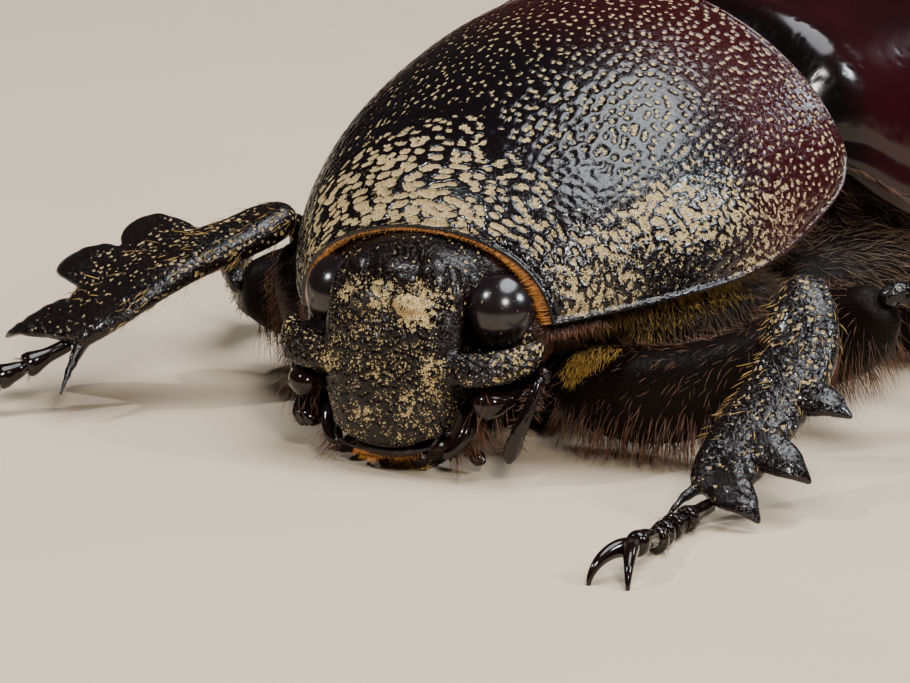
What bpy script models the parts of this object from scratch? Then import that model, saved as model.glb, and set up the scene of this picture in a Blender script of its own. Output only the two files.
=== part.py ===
"""Rhinoceros beetle, hornless female, life size, standing with its head bowed to the floor.

All sizes are in millimetres while the body is drawn, with the mouth on the floor at the origin,
the head looking along -Y and the left side at +X; settle_on_floor() turns them into metres.
"""
import bpy
import bmesh
import math
from mathutils import Vector

COLLECTION = "rhinoceros_beetle"
METRE = 0.001                    # one millimetre

# body plan -----------------------------------------------------------------------------------
PLATE = 0.45                     # thickness of the pronotum plate
WING_CASE = 0.55                 # thickness of an elytron
GAP = 0.09                       # clearance between neighbouring pieces
BODY_ROLL = math.radians(3.5)    # the trunk leans a little to its right
HEAD_ROLL = math.radians(-2.0)   # and the head a little less
EYE_RADII = Vector((1.00, 1.16, 1.22))
EYE_CENTRE = Vector((3.26, 1.66, 5.44))
ELYTRA_START, ELYTRA_END = 15.1, 38.0
SCUTELLUM_WIDTH, SCUTELLUM_LENGTH = 3.6, 3.2

# colours -------------------------------------------------------------------------------------
PAINTS = {
    "cuticle_black": ((0.012, 0.010, 0.010), 0.28),
    "cuticle_maroon": ((0.060, 0.010, 0.008), 0.20),
    "cuticle_brown": ((0.045, 0.018, 0.010), 0.35),
    "eye_glass": ((0.020, 0.016, 0.018), 0.08),
    "mouth_amber": ((0.220, 0.080, 0.020), 0.55),
    "claw_black": ((0.015, 0.011, 0.010), 0.15),
}


# small helpers -------------------------------------------------------------------------------
def collection(name, hidden=False):
    made = bpy.data.collections.new(name)
    bpy.context.scene.collection.children.link(made)
    made.hide_render = hidden
    return made


def paint(name, kind):
    colour, rough = PAINTS[kind]
    made = bpy.data.materials.new(name)
    made.use_nodes = True
    shader = made.node_tree.nodes["Principled BSDF"]
    shader.inputs["Base Color"].default_value = (*colour, 1.0)
    shader.inputs["Roughness"].default_value = rough
    shader.inputs["Metallic"].default_value = 0.0
    return made


def finish(name, bm, kind):
    """Close a bmesh into a named object with its own material."""
    bmesh.ops.recalc_face_normals(bm, faces=bm.faces)
    mesh = bpy.data.meshes.new(name)
    bm.to_mesh(mesh)
    bm.free()
    made = bpy.data.objects.new(name, mesh)
    bpy.data.collections[COLLECTION].objects.link(made)
    mesh.materials.append(paint(name, kind))
    return made


def bake_modifiers(made):
    """Turn an object's modifiers into plain mesh."""
    depsgraph = bpy.context.evaluated_depsgraph_get()
    mesh = bpy.data.meshes.new_from_object(made.evaluated_get(depsgraph))
    made.modifiers.clear()
    old, made.data = made.data, mesh
    mesh.name = made.name
    bpy.data.meshes.remove(old)
    return made


def fuse(main, extras):
    """Unite small solids with the one they grow from."""
    for extra in extras:
        union = main.modifiers.new("union", "BOOLEAN")
        union.operation = "UNION"
        union.solver = "EXACT"
        union.object = extra
        bake_modifiers(main)
    for extra in extras:
        for slot in list(extra.data.materials):
            bpy.data.materials.remove(slot)
        bpy.data.objects.remove(extra)
    while len(main.data.materials) > 1:
        main.data.materials.pop(index=len(main.data.materials) - 1)
    for face in main.data.polygons:
        face.material_index = 0
    return main


def along(table, s):
    """Smooth value at s from rows of (position, value)."""
    if s <= table[0][0]:
        return table[0][1]
    for (s0, v0), (s1, v1) in zip(table, table[1:]):
        if s <= s1:
            k = (s - s0) / (s1 - s0)
            k = k * k * (3 - 2 * k) * 0.45 + k * 0.55
            return v0 + (v1 - v0) * k
    return table[-1][1]


def skin(name, rings, kind):
    """Closed body lofted through rings of unlike section, capped at both ends."""
    bm = bmesh.new()
    rows = [[bm.verts.new(p) for p in ring] for ring in rings]
    n = len(rows[0])
    for low, high in zip(rows, rows[1:]):
        for i in range(n):
            j = (i + 1) % n
            bm.faces.new((low[i], low[j], high[j], high[i]))
    for row in (rows[0], rows[-1]):
        hub = bm.verts.new(sum((v.co for v in row), Vector()) / n)
        for i in range(n):
            bm.faces.new((row[i], row[(i + 1) % n], hub))
    return finish(name, bm, kind)


def oval(centre, side, up, a, b, n=10, power=2.0):
    """Ring of n points: half width a along side, half height b along up."""
    ring = []
    for i in range(n):
        angle = 2 * math.pi * i / n
        c, s = math.cos(angle), math.sin(angle)
        c = math.copysign(abs(c) ** (2 / power), c)
        s = math.copysign(abs(s) ** (2 / power), s)
        ring.append(centre + side * (a * c) + up * (b * s))
    return ring


def limb(name, stations, flat, kind, n=10, power=2.0):
    """Leg piece through stations (x, y, z, half width, half thickness); flat is its broad way."""
    flat = Vector(flat).normalized()
    spots = [Vector(s[:3]) for s in stations]
    rings = []
    for i, spot in enumerate(spots):
        way = (spots[min(i + 1, len(spots) - 1)] - spots[max(i - 1, 0)]).normalized()
        side = (flat - way * flat.dot(way)).normalized()
        rings.append(oval(spot, side, way.cross(side), stations[i][3], stations[i][4], n, power))
    return skin(name, rings, kind)


def thorn(path, radii, flat=(0.3, 0.2, 1.0), n=5):
    """Curved spine or tooth through its points, fused later with the piece it grows from."""
    stations = [(*spot, r, r * 0.8) for spot, r in zip(path, radii)]
    return limb("thorn", stations, flat, "claw_black", n)


def mirrored(path):
    return [(-p[0], *p[1:]) for p in path]


# prothorax -----------------------------------------------------------------------------------
# rows run from the front margin (0) to the base (1)
MARGIN_Y = ((0, 1.8), (0.25, 4.6), (0.5, 8.2), (0.75, 11.6), (0.92, 14.2), (1, 15.0))
MARGIN_X = ((0, 5.0), (0.25, 7.2), (0.5, 8.8), (0.75, 9.15), (0.92, 9.0), (1, 8.65))
MARGIN_Z = ((0, 4.87), (0.25, 5.22), (0.5, 5.7), (0.75, 6.7), (0.92, 7.9), (1, 8.7))
MIDLINE_Y = ((0, 1.4), (0.25, 3.6), (0.5, 7.0), (0.75, 10.6), (1, 14.2))
MIDLINE_Z = ((0, 8.0), (0.25, 10.5), (0.5, 12.7), (0.75, 14.1), (1, 14.6))
ARCH = ((0, 0.85), (0.5, 1.0), (1, 1.25))


def pronotum_point(s, t):
    """Upper face of the pronotum; t runs from the right margin (-1) to the left (1)."""
    angle = t * math.pi / 2
    rise = max(math.cos(angle), 0.0)
    x = along(MARGIN_X, s) * math.sin(angle)
    y = along(MARGIN_Y, s) + (along(MIDLINE_Y, s) - along(MARGIN_Y, s)) * rise
    z = along(MARGIN_Z, s)
    z += (along(MIDLINE_Z, s) - z) * rise ** along(ARCH, s)
    return Vector((x, y, z))


def normal_of(shape, s, t, step=0.01):
    a = shape(s + step, t) - shape(s - step, t)
    b = shape(s, t + step) - shape(s, t - step)
    way = a.cross(b)
    return way.normalized() if way.length else Vector((0, 0, 1))


def plate(name, shape, rows, columns, t_span, thickness, kind):
    """Curved plate: a grid laid on a shape and thickened inwards."""
    bm = bmesh.new()
    bmesh.ops.create_grid(bm, x_segments=columns, y_segments=rows, size=1)
    for vert in bm.verts:
        s = (vert.co.y + 1) / 2
        t = t_span[0] + (t_span[1] - t_span[0]) * (vert.co.x + 1) / 2
        vert.co = shape(s, t)
    up = sum((f.normal * f.calc_area() for f in bm.faces), Vector())
    bm.normal_update()
    up = sum((f.normal * f.calc_area() for f in bm.faces), Vector())
    if up.z < 0:
        bmesh.ops.reverse_faces(bm, faces=bm.faces)
    mesh = bpy.data.meshes.new(name)
    bm.to_mesh(mesh)
    bm.free()
    made = bpy.data.objects.new(name, mesh)
    bpy.data.collections[COLLECTION].objects.link(made)
    mesh.materials.append(paint(name, kind))
    thick = made.modifiers.new("thickness", "SOLIDIFY")
    thick.thickness = thickness
    thick.offset = -1
    thick.use_even_offset = False
    return bake_modifiers(made)


PRONOTUM_ROWS, PRONOTUM_COLUMNS = 12, 16


def build_pronotum():
    return plate("pronotum", pronotum_point, PRONOTUM_ROWS, PRONOTUM_COLUMNS, (-1, 1),
                 PLATE, "cuticle_black")


STERNUM_Z = ((0, 3.6), (0.3, 3.5), (0.6, 3.5), (1, 3.4))
STERNUM_START = 0.155


def build_prosternum():
    """Core of the prothorax under its plate, with the turned-in sides and the breast."""
    rings = []
    for row in range(2, PRONOTUM_ROWS + 1):
        s = row / PRONOTUM_ROWS
        top = []
        for column in range(PRONOTUM_COLUMNS + 1):
            t = -1 + 2 * column / PRONOTUM_COLUMNS
            surface = pronotum_point(s, t)
            inward = inner_normal(s, t)
            top.append(surface + inward * (PLATE + GAP))
        under = []
        low = along(STERNUM_Z, s)
        for column in range(1, 9):
            u = 1 - 2 * column / 9
            edge = top[-1] if u > 0 else top[0]
            x = abs(edge.x) * u
            rise = abs(u) ** 1.7
            under.append(Vector((x, edge.y, low + (edge.z - 0.25 - low) * rise)))
        rings.append(top + under)
    return skin("prosternum", rings, "cuticle_brown")


def inner_normal(s, t):
    way = normal_of(pronotum_point, min(max(s, 0.011), 0.989), min(max(t, -0.985), 0.985))
    centre = Vector((0, 7, 7))
    return way if way.dot(centre - pronotum_point(s, t)) > 0 else -way


# head ----------------------------------------------------------------------------------------
# level, half width, front, back, squareness
HEAD_LEVELS = (
    (0.95, 1.85, -0.80, 0.05, 2.6),
    (1.15, 2.10, -1.05, 0.50, 2.8),
    (1.90, 2.32, -1.24, 0.85, 2.8),
    (2.70, 2.48, -1.26, 1.10, 2.6),
    (3.15, 2.80, -1.24, 1.30, 2.4),
    (3.35, 4.20, -1.05, 1.65, 2.0),
    (3.75, 4.80, -0.98, 1.90, 2.0),
    (4.06, 4.35, -0.95, 1.95, 2.2),
    (4.14, 2.15, -1.12, 1.95, 3.0),
    (5.40, 2.15, -0.84, 2.05, 3.0),
    (6.40, 2.15, -0.32, 2.10, 3.0),
    (6.90, 2.95, 0.15, 2.10, 2.6),
    (7.30, 2.60, 0.55, 2.00, 2.4),
    (7.65, 1.70, 1.00, 1.75, 2.2),
)
HEAD_POINTS = 16


def build_head():
    rings = []
    for level, half, front, back, square in HEAD_LEVELS:
        ring = oval(Vector((0, 0, level)), Vector((1, 0, 0)), Vector((0, 1, 0)), half, 1,
                    HEAD_POINTS, square)
        for p in ring:
            p.y = (front + back) / 2 + p.y * (back - front) / 2
        rings.append(ring)
    head = skin("head", rings, "cuticle_black")
    bumps = []
    for side in (-1, 1):
        spot = Vector((0.78 * side, -0.70, 5.75))
        bumps.append(thorn([spot + Vector((0, 0.5, -0.1)), spot, spot + Vector((0, -0.3, 0.15))],
                           (0.75, 0.55, 0.25)))
    return fuse(head, bumps)


def build_eyes():
    for side, name in ((1, "eye_left"), (-1, "eye_right")):
        bm = bmesh.new()
        bmesh.ops.create_uvsphere(bm, u_segments=14, v_segments=9, radius=1)
        bmesh.ops.scale(bm, verts=bm.verts, vec=EYE_RADII)
        bmesh.ops.translate(bm, verts=bm.verts, vec=(EYE_CENTRE.x * side, *EYE_CENTRE[1:]))
        finish(name, bm, "eye_glass")


def build_mouth():
    skin("labrum", [
        oval(Vector((0, -0.20, 0.86)), Vector((1, 0, 0)), Vector((0, 1, 0)), 1.60, 0.35, 12, 2.4),
        oval(Vector((0, -0.22, 0.60)), Vector((1, 0, 0)), Vector((0, 1, 0)), 1.55, 0.40, 12, 2.4),
        oval(Vector((0, -0.15, 0.42)), Vector((1, 0, 0)), Vector((0, 1, 0)), 1.30, 0.30, 12, 2.4),
    ], "mouth_amber")
    skin("mouthparts", [
        oval(Vector((0, 0.68, 0.0)), Vector((1, 0, 0)), Vector((0, 1, 0)), 0.80, 0.50, 12, 2.2),
        oval(Vector((0, 0.92, 0.34)), Vector((1, 0, 0)), Vector((0, 1, 0)), 1.25, 0.75, 12, 2.2),
        oval(Vector((0, 1.60, 0.90)), Vector((1, 0, 0)), Vector((0, 1, 0)), 1.40, 0.80, 12, 2.2),
        oval(Vector((0, 2.30, 2.20)), Vector((1, 0, 0)), Vector((0, 1, 0)), 1.60, 0.75, 12, 2.2),
        oval(Vector((0, 2.30, 3.00)), Vector((1, 0, 0)), Vector((0, 1, 0)), 1.40, 0.60, 12, 2.2),
    ], "mouth_amber")
    jaw = ((2.78, 0.75, 2.08, 0.40, 0.28), (2.84, 0.35, 1.75, 0.45, 0.28),
           (2.70, 0.0, 1.40, 0.40, 0.27), (2.48, -0.15, 1.08, 0.28, 0.25))
    limb("mandible_left", jaw, (0, 1, 0), "claw_black", 8)
    limb("mandible_right", mirrored(jaw), (0, 1, 0), "claw_black", 8)
    feeler = ((1.75, 1.1, 0.72, 0.20, 0.20), (2.25, 1.0, 0.62, 0.27, 0.27),
              (2.75, 0.9, 0.48, 0.25, 0.25))
    limb("palp_left", feeler, (0, 0, 1), "mouth_amber", 6)
    limb("palp_right", mirrored(feeler), (0, 0, 1), "mouth_amber", 6)


def build_antennae():
    scape = ((2.95, 0.30, 2.50, 0.25, 0.25), (3.30, 0.10, 2.55, 0.32, 0.32),
             (3.75, 0.00, 2.62, 0.50, 0.48), (4.20, 0.35, 2.72, 0.34, 0.34),
             (4.45, 0.75, 2.85, 0.26, 0.26), (4.70, 1.12, 3.00, 0.28, 0.28),
             (4.95, 1.38, 3.15, 0.26, 0.26), (5.05, 1.48, 3.40, 0.27, 0.27))
    club = ((5.25, 0.80, 3.50, 0.25, 0.25), (5.20, 0.55, 3.10, 0.32, 0.28),
            (5.05, 0.25, 2.45, 0.44, 0.38), (4.75, 0.10, 1.65, 0.58, 0.46),
            (4.50, 0.15, 1.05, 0.50, 0.42), (4.37, 0.20, 0.75, 0.25, 0.25))
    tucked = ((-4.00, 1.05, 2.25, 0.25, 0.25), (-3.92, 0.85, 2.02, 0.40, 0.36),
              (-3.80, 0.50, 1.70, 0.46, 0.42), (-3.70, 0.15, 1.38, 0.42, 0.40),
              (-3.65, -0.05, 1.13, 0.25, 0.25))
    limb("antenna_left", scape, (0, 0, 1), "cuticle_brown", 8)
    limb("antenna_right", mirrored(scape[:6]), (0, 0, 1), "cuticle_brown", 8)
    limb("club_left", club, (1, 0.3, 0), "cuticle_brown", 8)
    limb("club_right", tucked, (-1, 0.3, 0), "cuticle_brown", 8)


# hind body -----------------------------------------------------------------------------------
ELYTRA_X = ((0, 7.0), (0.05, 7.9), (0.12, 8.7), (0.25, 9.3), (0.5, 9.9), (0.72, 9.7), (0.88, 8.3),
            (0.96, 6.3), (1, 4.0))
ELYTRA_EDGE_Z = ((0, 8.6), (0.05, 7.5), (0.12, 6.3), (0.35, 5.6), (0.65, 5.8), (0.87, 6.5), (1, 7.3))
ELYTRA_MID_Z = ((0, 12.4), (0.05, 13.5), (0.12, 14.1), (0.35, 15.0), (0.6, 14.5), (0.8, 12.8),
                (0.92, 10.6), (1, 8.2))
ELYTRA_ARCH = ((0, 0.55), (0.06, 0.50), (0.16, 0.55), (1, 0.78))


def elytron_point(s, t):
    """Upper face of the left elytron; t runs from the suture (0) to the side edge (1)."""
    angle = t * math.pi / 2
    y = ELYTRA_START + (ELYTRA_END - ELYTRA_START) * s
    inner = GAP / 2
    notch = 1 - (y - ELYTRA_START) / SCUTELLUM_LENGTH
    if notch > 0:
        inner += notch * SCUTELLUM_WIDTH / 2
    x = inner + (along(ELYTRA_X, s) - inner) * math.sin(angle)
    whole = min(x / along(ELYTRA_X, s), 1)
    rise = math.sqrt(max(1 - whole * whole, 0))
    edge = along(ELYTRA_EDGE_Z, s)
    z = edge + (along(ELYTRA_MID_Z, s) - edge) * rise ** along(ELYTRA_ARCH, s)
    return Vector((x, y - 0.9 * (1 - rise) * (s - 0.5), z))


def elytron_right_point(s, t):
    p = elytron_point(s, t)
    return Vector((-p.x, p.y, p.z))


ELYTRON_ROWS, ELYTRON_COLUMNS = 14, 8


def build_elytra():
    plate("elytron_left", elytron_point, ELYTRON_ROWS, ELYTRON_COLUMNS, (0, 1),
          WING_CASE, "cuticle_maroon")
    plate("elytron_right", elytron_right_point, ELYTRON_ROWS, ELYTRON_COLUMNS, (0, 1),
          WING_CASE, "cuticle_maroon")


def build_scutellum():
    """Small three-sided shield between the roots of the wing cases."""
    half = SCUTELLUM_WIDTH / 2 - GAP
    top = []
    for x, y in ((-half, 0), (half, 0), (half * 0.55, 0.5), (0.0, 0.96), (-half * 0.55, 0.5)):
        spot = ELYTRA_START + y * SCUTELLUM_LENGTH - GAP
        edge = along(ELYTRA_MID_Z, (spot - ELYTRA_START) / (ELYTRA_END - ELYTRA_START))
        top.append(Vector((x * 0.97, spot, edge - 0.05)))
    low = [p + Vector((0, 0, -0.45)) for p in top]
    skin("scutellum", [low, top], "cuticle_maroon")


BELLY_Z = ((0, 3.1), (0.2, 2.85), (0.36, 2.75), (0.5, 2.4), (0.75, 2.9), (1, 6.0))
HIND_GAP = 0.22


def under_wing(s, t):
    """Point of the hind body just inside the left wing case."""
    way = normal_of(elytron_point, min(max(s, 0.011), 0.985), min(max(t, 0.012), 0.985))
    surface = elytron_point(s, t)
    centre = Vector((0, surface.y, 8))
    if way.dot(centre - surface) < 0:
        way = -way
    gap = HIND_GAP + 1.3 * max(s - 0.6, 0) + 4.0 * max(0.09 - s, 0)
    inner = surface + way * (WING_CASE + gap)
    return Vector((max(inner.x, 0), surface.y, inner.z))


def hind_ring(s):
    """Section of the hind body under the wing cases."""
    steps = 8
    left = [under_wing(s, i / steps) for i in range(steps + 1)]
    left[0].x = 0
    left[0].z = min(left[0].z, left[1].z + 0.05)
    right = [Vector((-p.x, p.y, p.z)) for p in left[1:]]
    edge = left[-1]
    low = along(BELLY_Z, s)
    under = []
    for i in range(1, 8):
        u = 1 - 2 * i / 8
        under.append(Vector((edge.x * u, edge.y, low + (edge.z - 0.3 - low) * abs(u) ** 2.4)))
    return list(reversed(right)) + left + under


THORAX_SHARE = 0.36
WAIST_Y, WAIST_SHARE = 15.12, 0.93
ABDOMEN_SHARE = 0.87
# how far behind the abdomen, share of its width and height, sinking
PYGIDIUM_STEPS = ((0.1, 0.95, 0.93, 0.15), (1.1, 0.82, 0.70, 0.9), (2.0, 0.62, 0.54, 1.5),
                  (2.6, 0.38, 0.32, 1.9))


def build_hind_body():
    front = [hind_ring(0.01 + (THORAX_SHARE - 0.01) * i / 5) for i in range(6)]
    centre = sum(front[0], Vector()) / len(front[0])
    # the waist: a slightly narrower face, a gap's width behind the prothorax
    waist = [Vector((p.x * WAIST_SHARE, WAIST_Y, centre.z + (p.z - centre.z) * WAIST_SHARE))
             for p in front[0]]
    skin("metathorax", [waist] + front, "cuticle_brown")
    start = THORAX_SHARE + 0.1 / (ELYTRA_END - ELYTRA_START)
    rear = [hind_ring(start + (ABDOMEN_SHARE - start) * i / 7) for i in range(8)]
    skin("abdomen", rear, "cuticle_brown")
    rings = []
    last = hind_ring(ABDOMEN_SHARE)
    centre = sum(last, Vector()) / len(last)
    for back, wide, tall, drop in PYGIDIUM_STEPS:
        rings.append([Vector((p.x * wide, p.y + back, centre.z - drop + (p.z - centre.z) * tall))
                      for p in last])
    skin("pygidium", rings, "cuticle_brown")


# legs ----------------------------------------------------------------------------------------
# every leg from the body outwards: coxa, femur, tibia with its spines, tarsus, claws
FORE_LEFT = {
    "coxa": ((0.45, 5.2, 2.55, 0.75, 0.75), (1.6, 5.2, 2.5, 0.9, 0.95), (2.9, 5.2, 2.5, 0.75, 0.8)),
    "femur": ((3.2, 5.1, 2.5, 0.9, 0.7), (4.4, 5.0, 2.45, 1.45, 1.0), (6.6, 5.0, 2.47, 1.75, 1.15),
              (8.8, 5.3, 2.95, 1.65, 1.1), (10.8, 5.9, 4.1, 1.35, 1.0), (12.0, 6.5, 5.3, 0.95, 0.8),
              (12.2, 6.8, 5.85, 0.45, 0.45)),
    "femur_flat": (0, -0.35, 1),
    "tibia": ((12.3, 6.1, 6.85, 0.45, 0.4), (12.5, 5.5, 6.4, 0.95, 0.65),
              (13.0, 4.4, 4.9, 1.3, 0.75), (12.95, 2.9, 3.5, 1.2, 0.7), (12.7, 1.5, 2.45, 1.15, 0.6),
              (12.55, 0.3, 1.55, 1.05, 0.55), (12.4, -0.5, 0.95, 0.7, 0.45)),
    "tibia_flat": (1, 0.12, -0.25),
    "teeth": (((13.3, 3.3, 3.6), (14.6, 3.2, 3.55), (15.5, 3.4, 3.3)),
              ((13.1, 1.4, 2.3), (14.3, 1.3, 2.05), (15.1, 1.5, 1.5)),
              ((12.7, 0.1, 1.4), (13.8, -0.5, 1.0), (14.45, -0.5, 0.4))),
    "spur": ((11.95, -0.3, 1.1), (11.8, -1.0, 0.8), (11.75, -1.6, 0.4)),
    "tarsus": ((12.6, -1.2, 0.65), (12.6, -2.05, 0.55), (12.6, -2.9, 0.5), (12.85, -3.8, 0.5),
               (13.2, -4.7, 0.55), (13.7, -6.7, 0.9)),
    "claws": ((0.55, -0.9), (-0.35, -1.0)),
}
FORE_RIGHT = {
    "coxa": mirrored(FORE_LEFT["coxa"]),
    "femur": ((-3.2, 5.1, 2.4, 0.9, 0.7), (-4.2, 5.2, 2.25, 1.35, 1.0), (-5.6, 5.6, 2.25, 1.5, 1.1),
              (-7.2, 6.3, 2.4, 1.45, 1.1), (-8.8, 7.3, 3.2, 1.25, 0.95), (-9.6, 8.0, 4.4, 0.9, 0.8),
              (-9.75, 8.2, 5.2, 0.5, 0.5)),
    "femur_flat": (0, -0.35, 1),
    "tibia": ((-9.4, 7.3, 6.4, 0.45, 0.4), (-9.7, 6.8, 6.2, 0.9, 0.6),
              (-10.5, 5.4, 5.65, 1.1, 0.65), (-11.6, 4.0, 5.1, 1.25, 0.65),
              (-12.7, 2.6, 4.3, 1.4, 0.6), (-13.5, 1.4, 3.35, 1.3, 0.55),
              (-14.1, 0.5, 2.45, 0.8, 0.45)),
    "tibia_flat": (0.75, -0.6, -0.15),
    "teeth": (((-11.9, 4.1, 5.1), (-13.6, 4.9, 5.5), (-15.1, 5.1, 5.5)),
              ((-13.1, 2.7, 4.2), (-15.1, 3.4, 4.6), (-16.8, 3.4, 4.3)),
              ((-13.9, 1.3, 3.1), (-15.6, 1.6, 2.9), (-17.2, 1.3, 1.95))),
    "spur": ((-13.3, 0.4, 2.5), (-13.0, -0.5, 2.0), (-12.8, -1.5, 1.3)),
    "tarsus": ((-14.5, -0.1, 2.05), (-15.0, -0.8, 1.7), (-15.6, -1.6, 1.35), (-16.25, -2.4, 1.05),
               (-16.95, -3.25, 0.8), (-18.5, -5.0, 0.95)),
    "claws": ((-1.0, -0.45), (-0.3, -1.0)),
}
MID_LEFT = {
    "coxa": ((0.6, 15.9, 1.9, 0.75, 0.75), (1.9, 15.7, 1.9, 0.9, 0.9), (3.2, 15.4, 2.0, 0.75, 0.8)),
    "femur": ((3.75, 15.25, 2.0, 0.8, 0.7), (5.0, 14.5, 2.3, 1.35, 0.9), (7.4, 13.2, 2.9, 1.7, 1.0),
              (9.6, 12.0, 3.5, 1.65, 1.0), (11.4, 11.2, 4.4, 1.4, 0.9), (12.3, 10.9, 5.2, 0.8, 0.6)),
    "femur_flat": (0.2, -0.3, 1),
    "tibia": ((12.9, 11.2, 5.7, 0.45, 0.4), (13.6, 11.8, 5.3, 0.6, 0.5),
              (14.8, 13.0, 4.2, 0.75, 0.6), (16.0, 14.3, 3.0, 0.85, 0.65),
              (16.9, 15.5, 1.9, 1.1, 0.8), (17.3, 16.1, 1.4, 0.8, 0.6)),
    "tibia_flat": (0.5, -0.4, 0.6),
    "teeth": (((15.3, 13.9, 3.6), (15.9, 13.6, 4.0), (16.5, 13.6, 4.1)),
              ((17.2, 15.8, 1.9), (18.1, 15.9, 1.9), (18.7, 16.2, 1.6)),
              ((16.9, 16.0, 1.9), (17.2, 16.8, 2.1), (17.6, 17.5, 1.8))),
    "spur": ((17.0, 16.0, 1.4), (17.1, 17.0, 1.0), (17.4, 18.1, 0.6)),
    "tarsus": ((17.7, 16.7, 1.15), (18.1, 17.7, 0.85), (18.5, 18.7, 0.7), (18.9, 19.7, 0.62),
               (19.3, 20.7, 0.6), (19.9, 22.6, 0.95)),
    "claws": ((0.75, 0.75), (-0.25, 1.0)),
}
MID_RIGHT = {
    "coxa": mirrored(MID_LEFT["coxa"]),
    "femur": ((-3.75, 15.25, 2.0, 0.8, 0.7), (-5.0, 14.2, 2.2, 1.3, 0.9),
              (-7.2, 12.6, 2.5, 1.6, 1.0), (-9.6, 10.8, 2.8, 1.6, 1.0),
              (-11.6, 9.3, 3.0, 1.5, 0.9), (-12.5, 8.6, 3.1, 0.8, 0.6)),
    "femur_flat": (-0.1, -0.2, 1),
    "tibia": ((-13.3, 9.1, 3.6, 0.45, 0.4), (-13.7, 9.8, 3.4, 0.6, 0.5),
              (-14.4, 11.2, 2.9, 0.75, 0.6), (-15.2, 12.7, 2.1, 0.8, 0.65),
              (-15.8, 14.0, 1.5, 0.95, 0.75), (-16.0, 14.7, 1.3, 0.75, 0.6)),
    "tibia_flat": (-0.3, -0.2, 0.8),
    "teeth": (((-14.9, 11.9, 2.7), (-15.6, 11.8, 3.0), (-16.1, 12.0, 3.1)),
              ((-15.9, 14.3, 1.6), (-16.8, 14.7, 1.7), (-17.3, 15.1, 1.5)),
              ((-15.7, 14.5, 1.7), (-15.8, 15.4, 2.1), (-16.1, 16.0, 1.9))),
    "spur": ((-15.6, 14.6, 1.2), (-15.4, 15.6, 0.9), (-15.4, 16.7, 0.6)),
    "tarsus": ((-16.1, 15.4, 1.05), (-16.3, 16.4, 0.8), (-16.4, 17.4, 0.68), (-16.5, 18.4, 0.62),
               (-16.6, 19.4, 0.6), (-16.6, 21.4, 0.95)),
    "claws": ((-0.5, 0.9), (0.5, 0.9)),
}
HIND_LEFT = {
    "coxa": ((0.5, 21.2, 1.75, 0.9, 0.7), (2.2, 21.3, 1.75, 1.1, 0.75), (4.0, 21.5, 1.9, 0.9, 0.7)),
    "femur": ((4.4, 21.7, 1.95, 0.85, 0.7), (5.8, 22.2, 1.95, 1.35, 0.9), (8.2, 23.0, 2.3, 1.7, 1.0),
              (10.4, 23.8, 3.3, 1.7, 1.0), (12.0, 24.4, 4.4, 1.3, 0.9), (12.6, 24.6, 5.0, 0.7, 0.6)),
    "femur_flat": (0, -0.3, 1),
    "tibia": ((12.9, 25.2, 5.5, 0.45, 0.4), (13.3, 26.1, 5.1, 0.65, 0.55),
              (13.9, 27.7, 4.2, 0.85, 0.65), (14.5, 29.5, 3.2, 0.95, 0.75),
              (15.0, 31.2, 2.1, 1.3, 0.9), (15.2, 32.0, 1.6, 0.9, 0.65)),
    "tibia_flat": (0.8, -0.1, 0.5),
    "teeth": (((14.5, 29.0, 3.7), (15.3, 29.0, 4.1), (15.9, 29.3, 4.1)),
              ((15.4, 31.6, 2.2), (16.4, 31.9, 2.3), (17.0, 32.4, 2.0)),
              ((15.0, 31.8, 2.3), (15.1, 32.7, 2.6), (15.4, 33.5, 2.3))),
    "spur": ((14.8, 31.9, 1.5), (14.8, 33.0, 1.1), (15.0, 34.3, 0.65)),
    "tarsus": ((15.5, 32.7, 1.25), (15.8, 33.9, 0.9), (16.1, 35.1, 0.72), (16.4, 36.2, 0.62),
               (16.7, 37.3, 0.6), (17.1, 39.4, 0.95)),
    "claws": ((0.7, 0.8), (-0.35, 1.0)),
}
LEGS = {"fore_left": FORE_LEFT, "fore_right": FORE_RIGHT, "mid_left": MID_LEFT,
        "mid_right": MID_RIGHT, "hind_left": HIND_LEFT}

TARSUS_RADIUS = 0.36
CLAW_RADIUS = 0.27


def mirror_leg(leg):
    turned = {}
    for key, value in leg.items():
        if key == "teeth":
            turned[key] = tuple(mirrored(path) for path in value)
        elif key.endswith("flat"):
            turned[key] = (-value[0], *value[1:])
        elif key == "claws":
            turned[key] = tuple((-x, y) for x, y in value)
        else:
            turned[key] = mirrored(value)
    return turned


def build_tarsus(name, joints):
    """Four short cup-shaped segments and a long arched last one, as one beaded body."""
    stations = []
    spots = [Vector(j) for j in joints]
    for i, (a, b) in enumerate(zip(spots, spots[1:])):
        last = i == len(spots) - 2
        radius = TARSUS_RADIUS
        stations.append((*a.lerp(b, 0.0 if i else 0.02), 0.25, 0.25))
        if last:
            middle = a.lerp(b, 0.5) + Vector((0, 0, 0.15))
            stations.append((*middle, 0.27, 0.27))
            stations.append((*a.lerp(b, 0.85), 0.34, 0.34))
            stations.append((*b, 0.27, 0.27))
        else:
            stations.append((*a.lerp(b, 0.75), radius, radius))
    return limb(name, stations, (0, 0, 1), "cuticle_black", 6)


CLAW_DROP = -1.08    # a claw's point below the foot's end, past the floor, so that it ends in a flat


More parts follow.
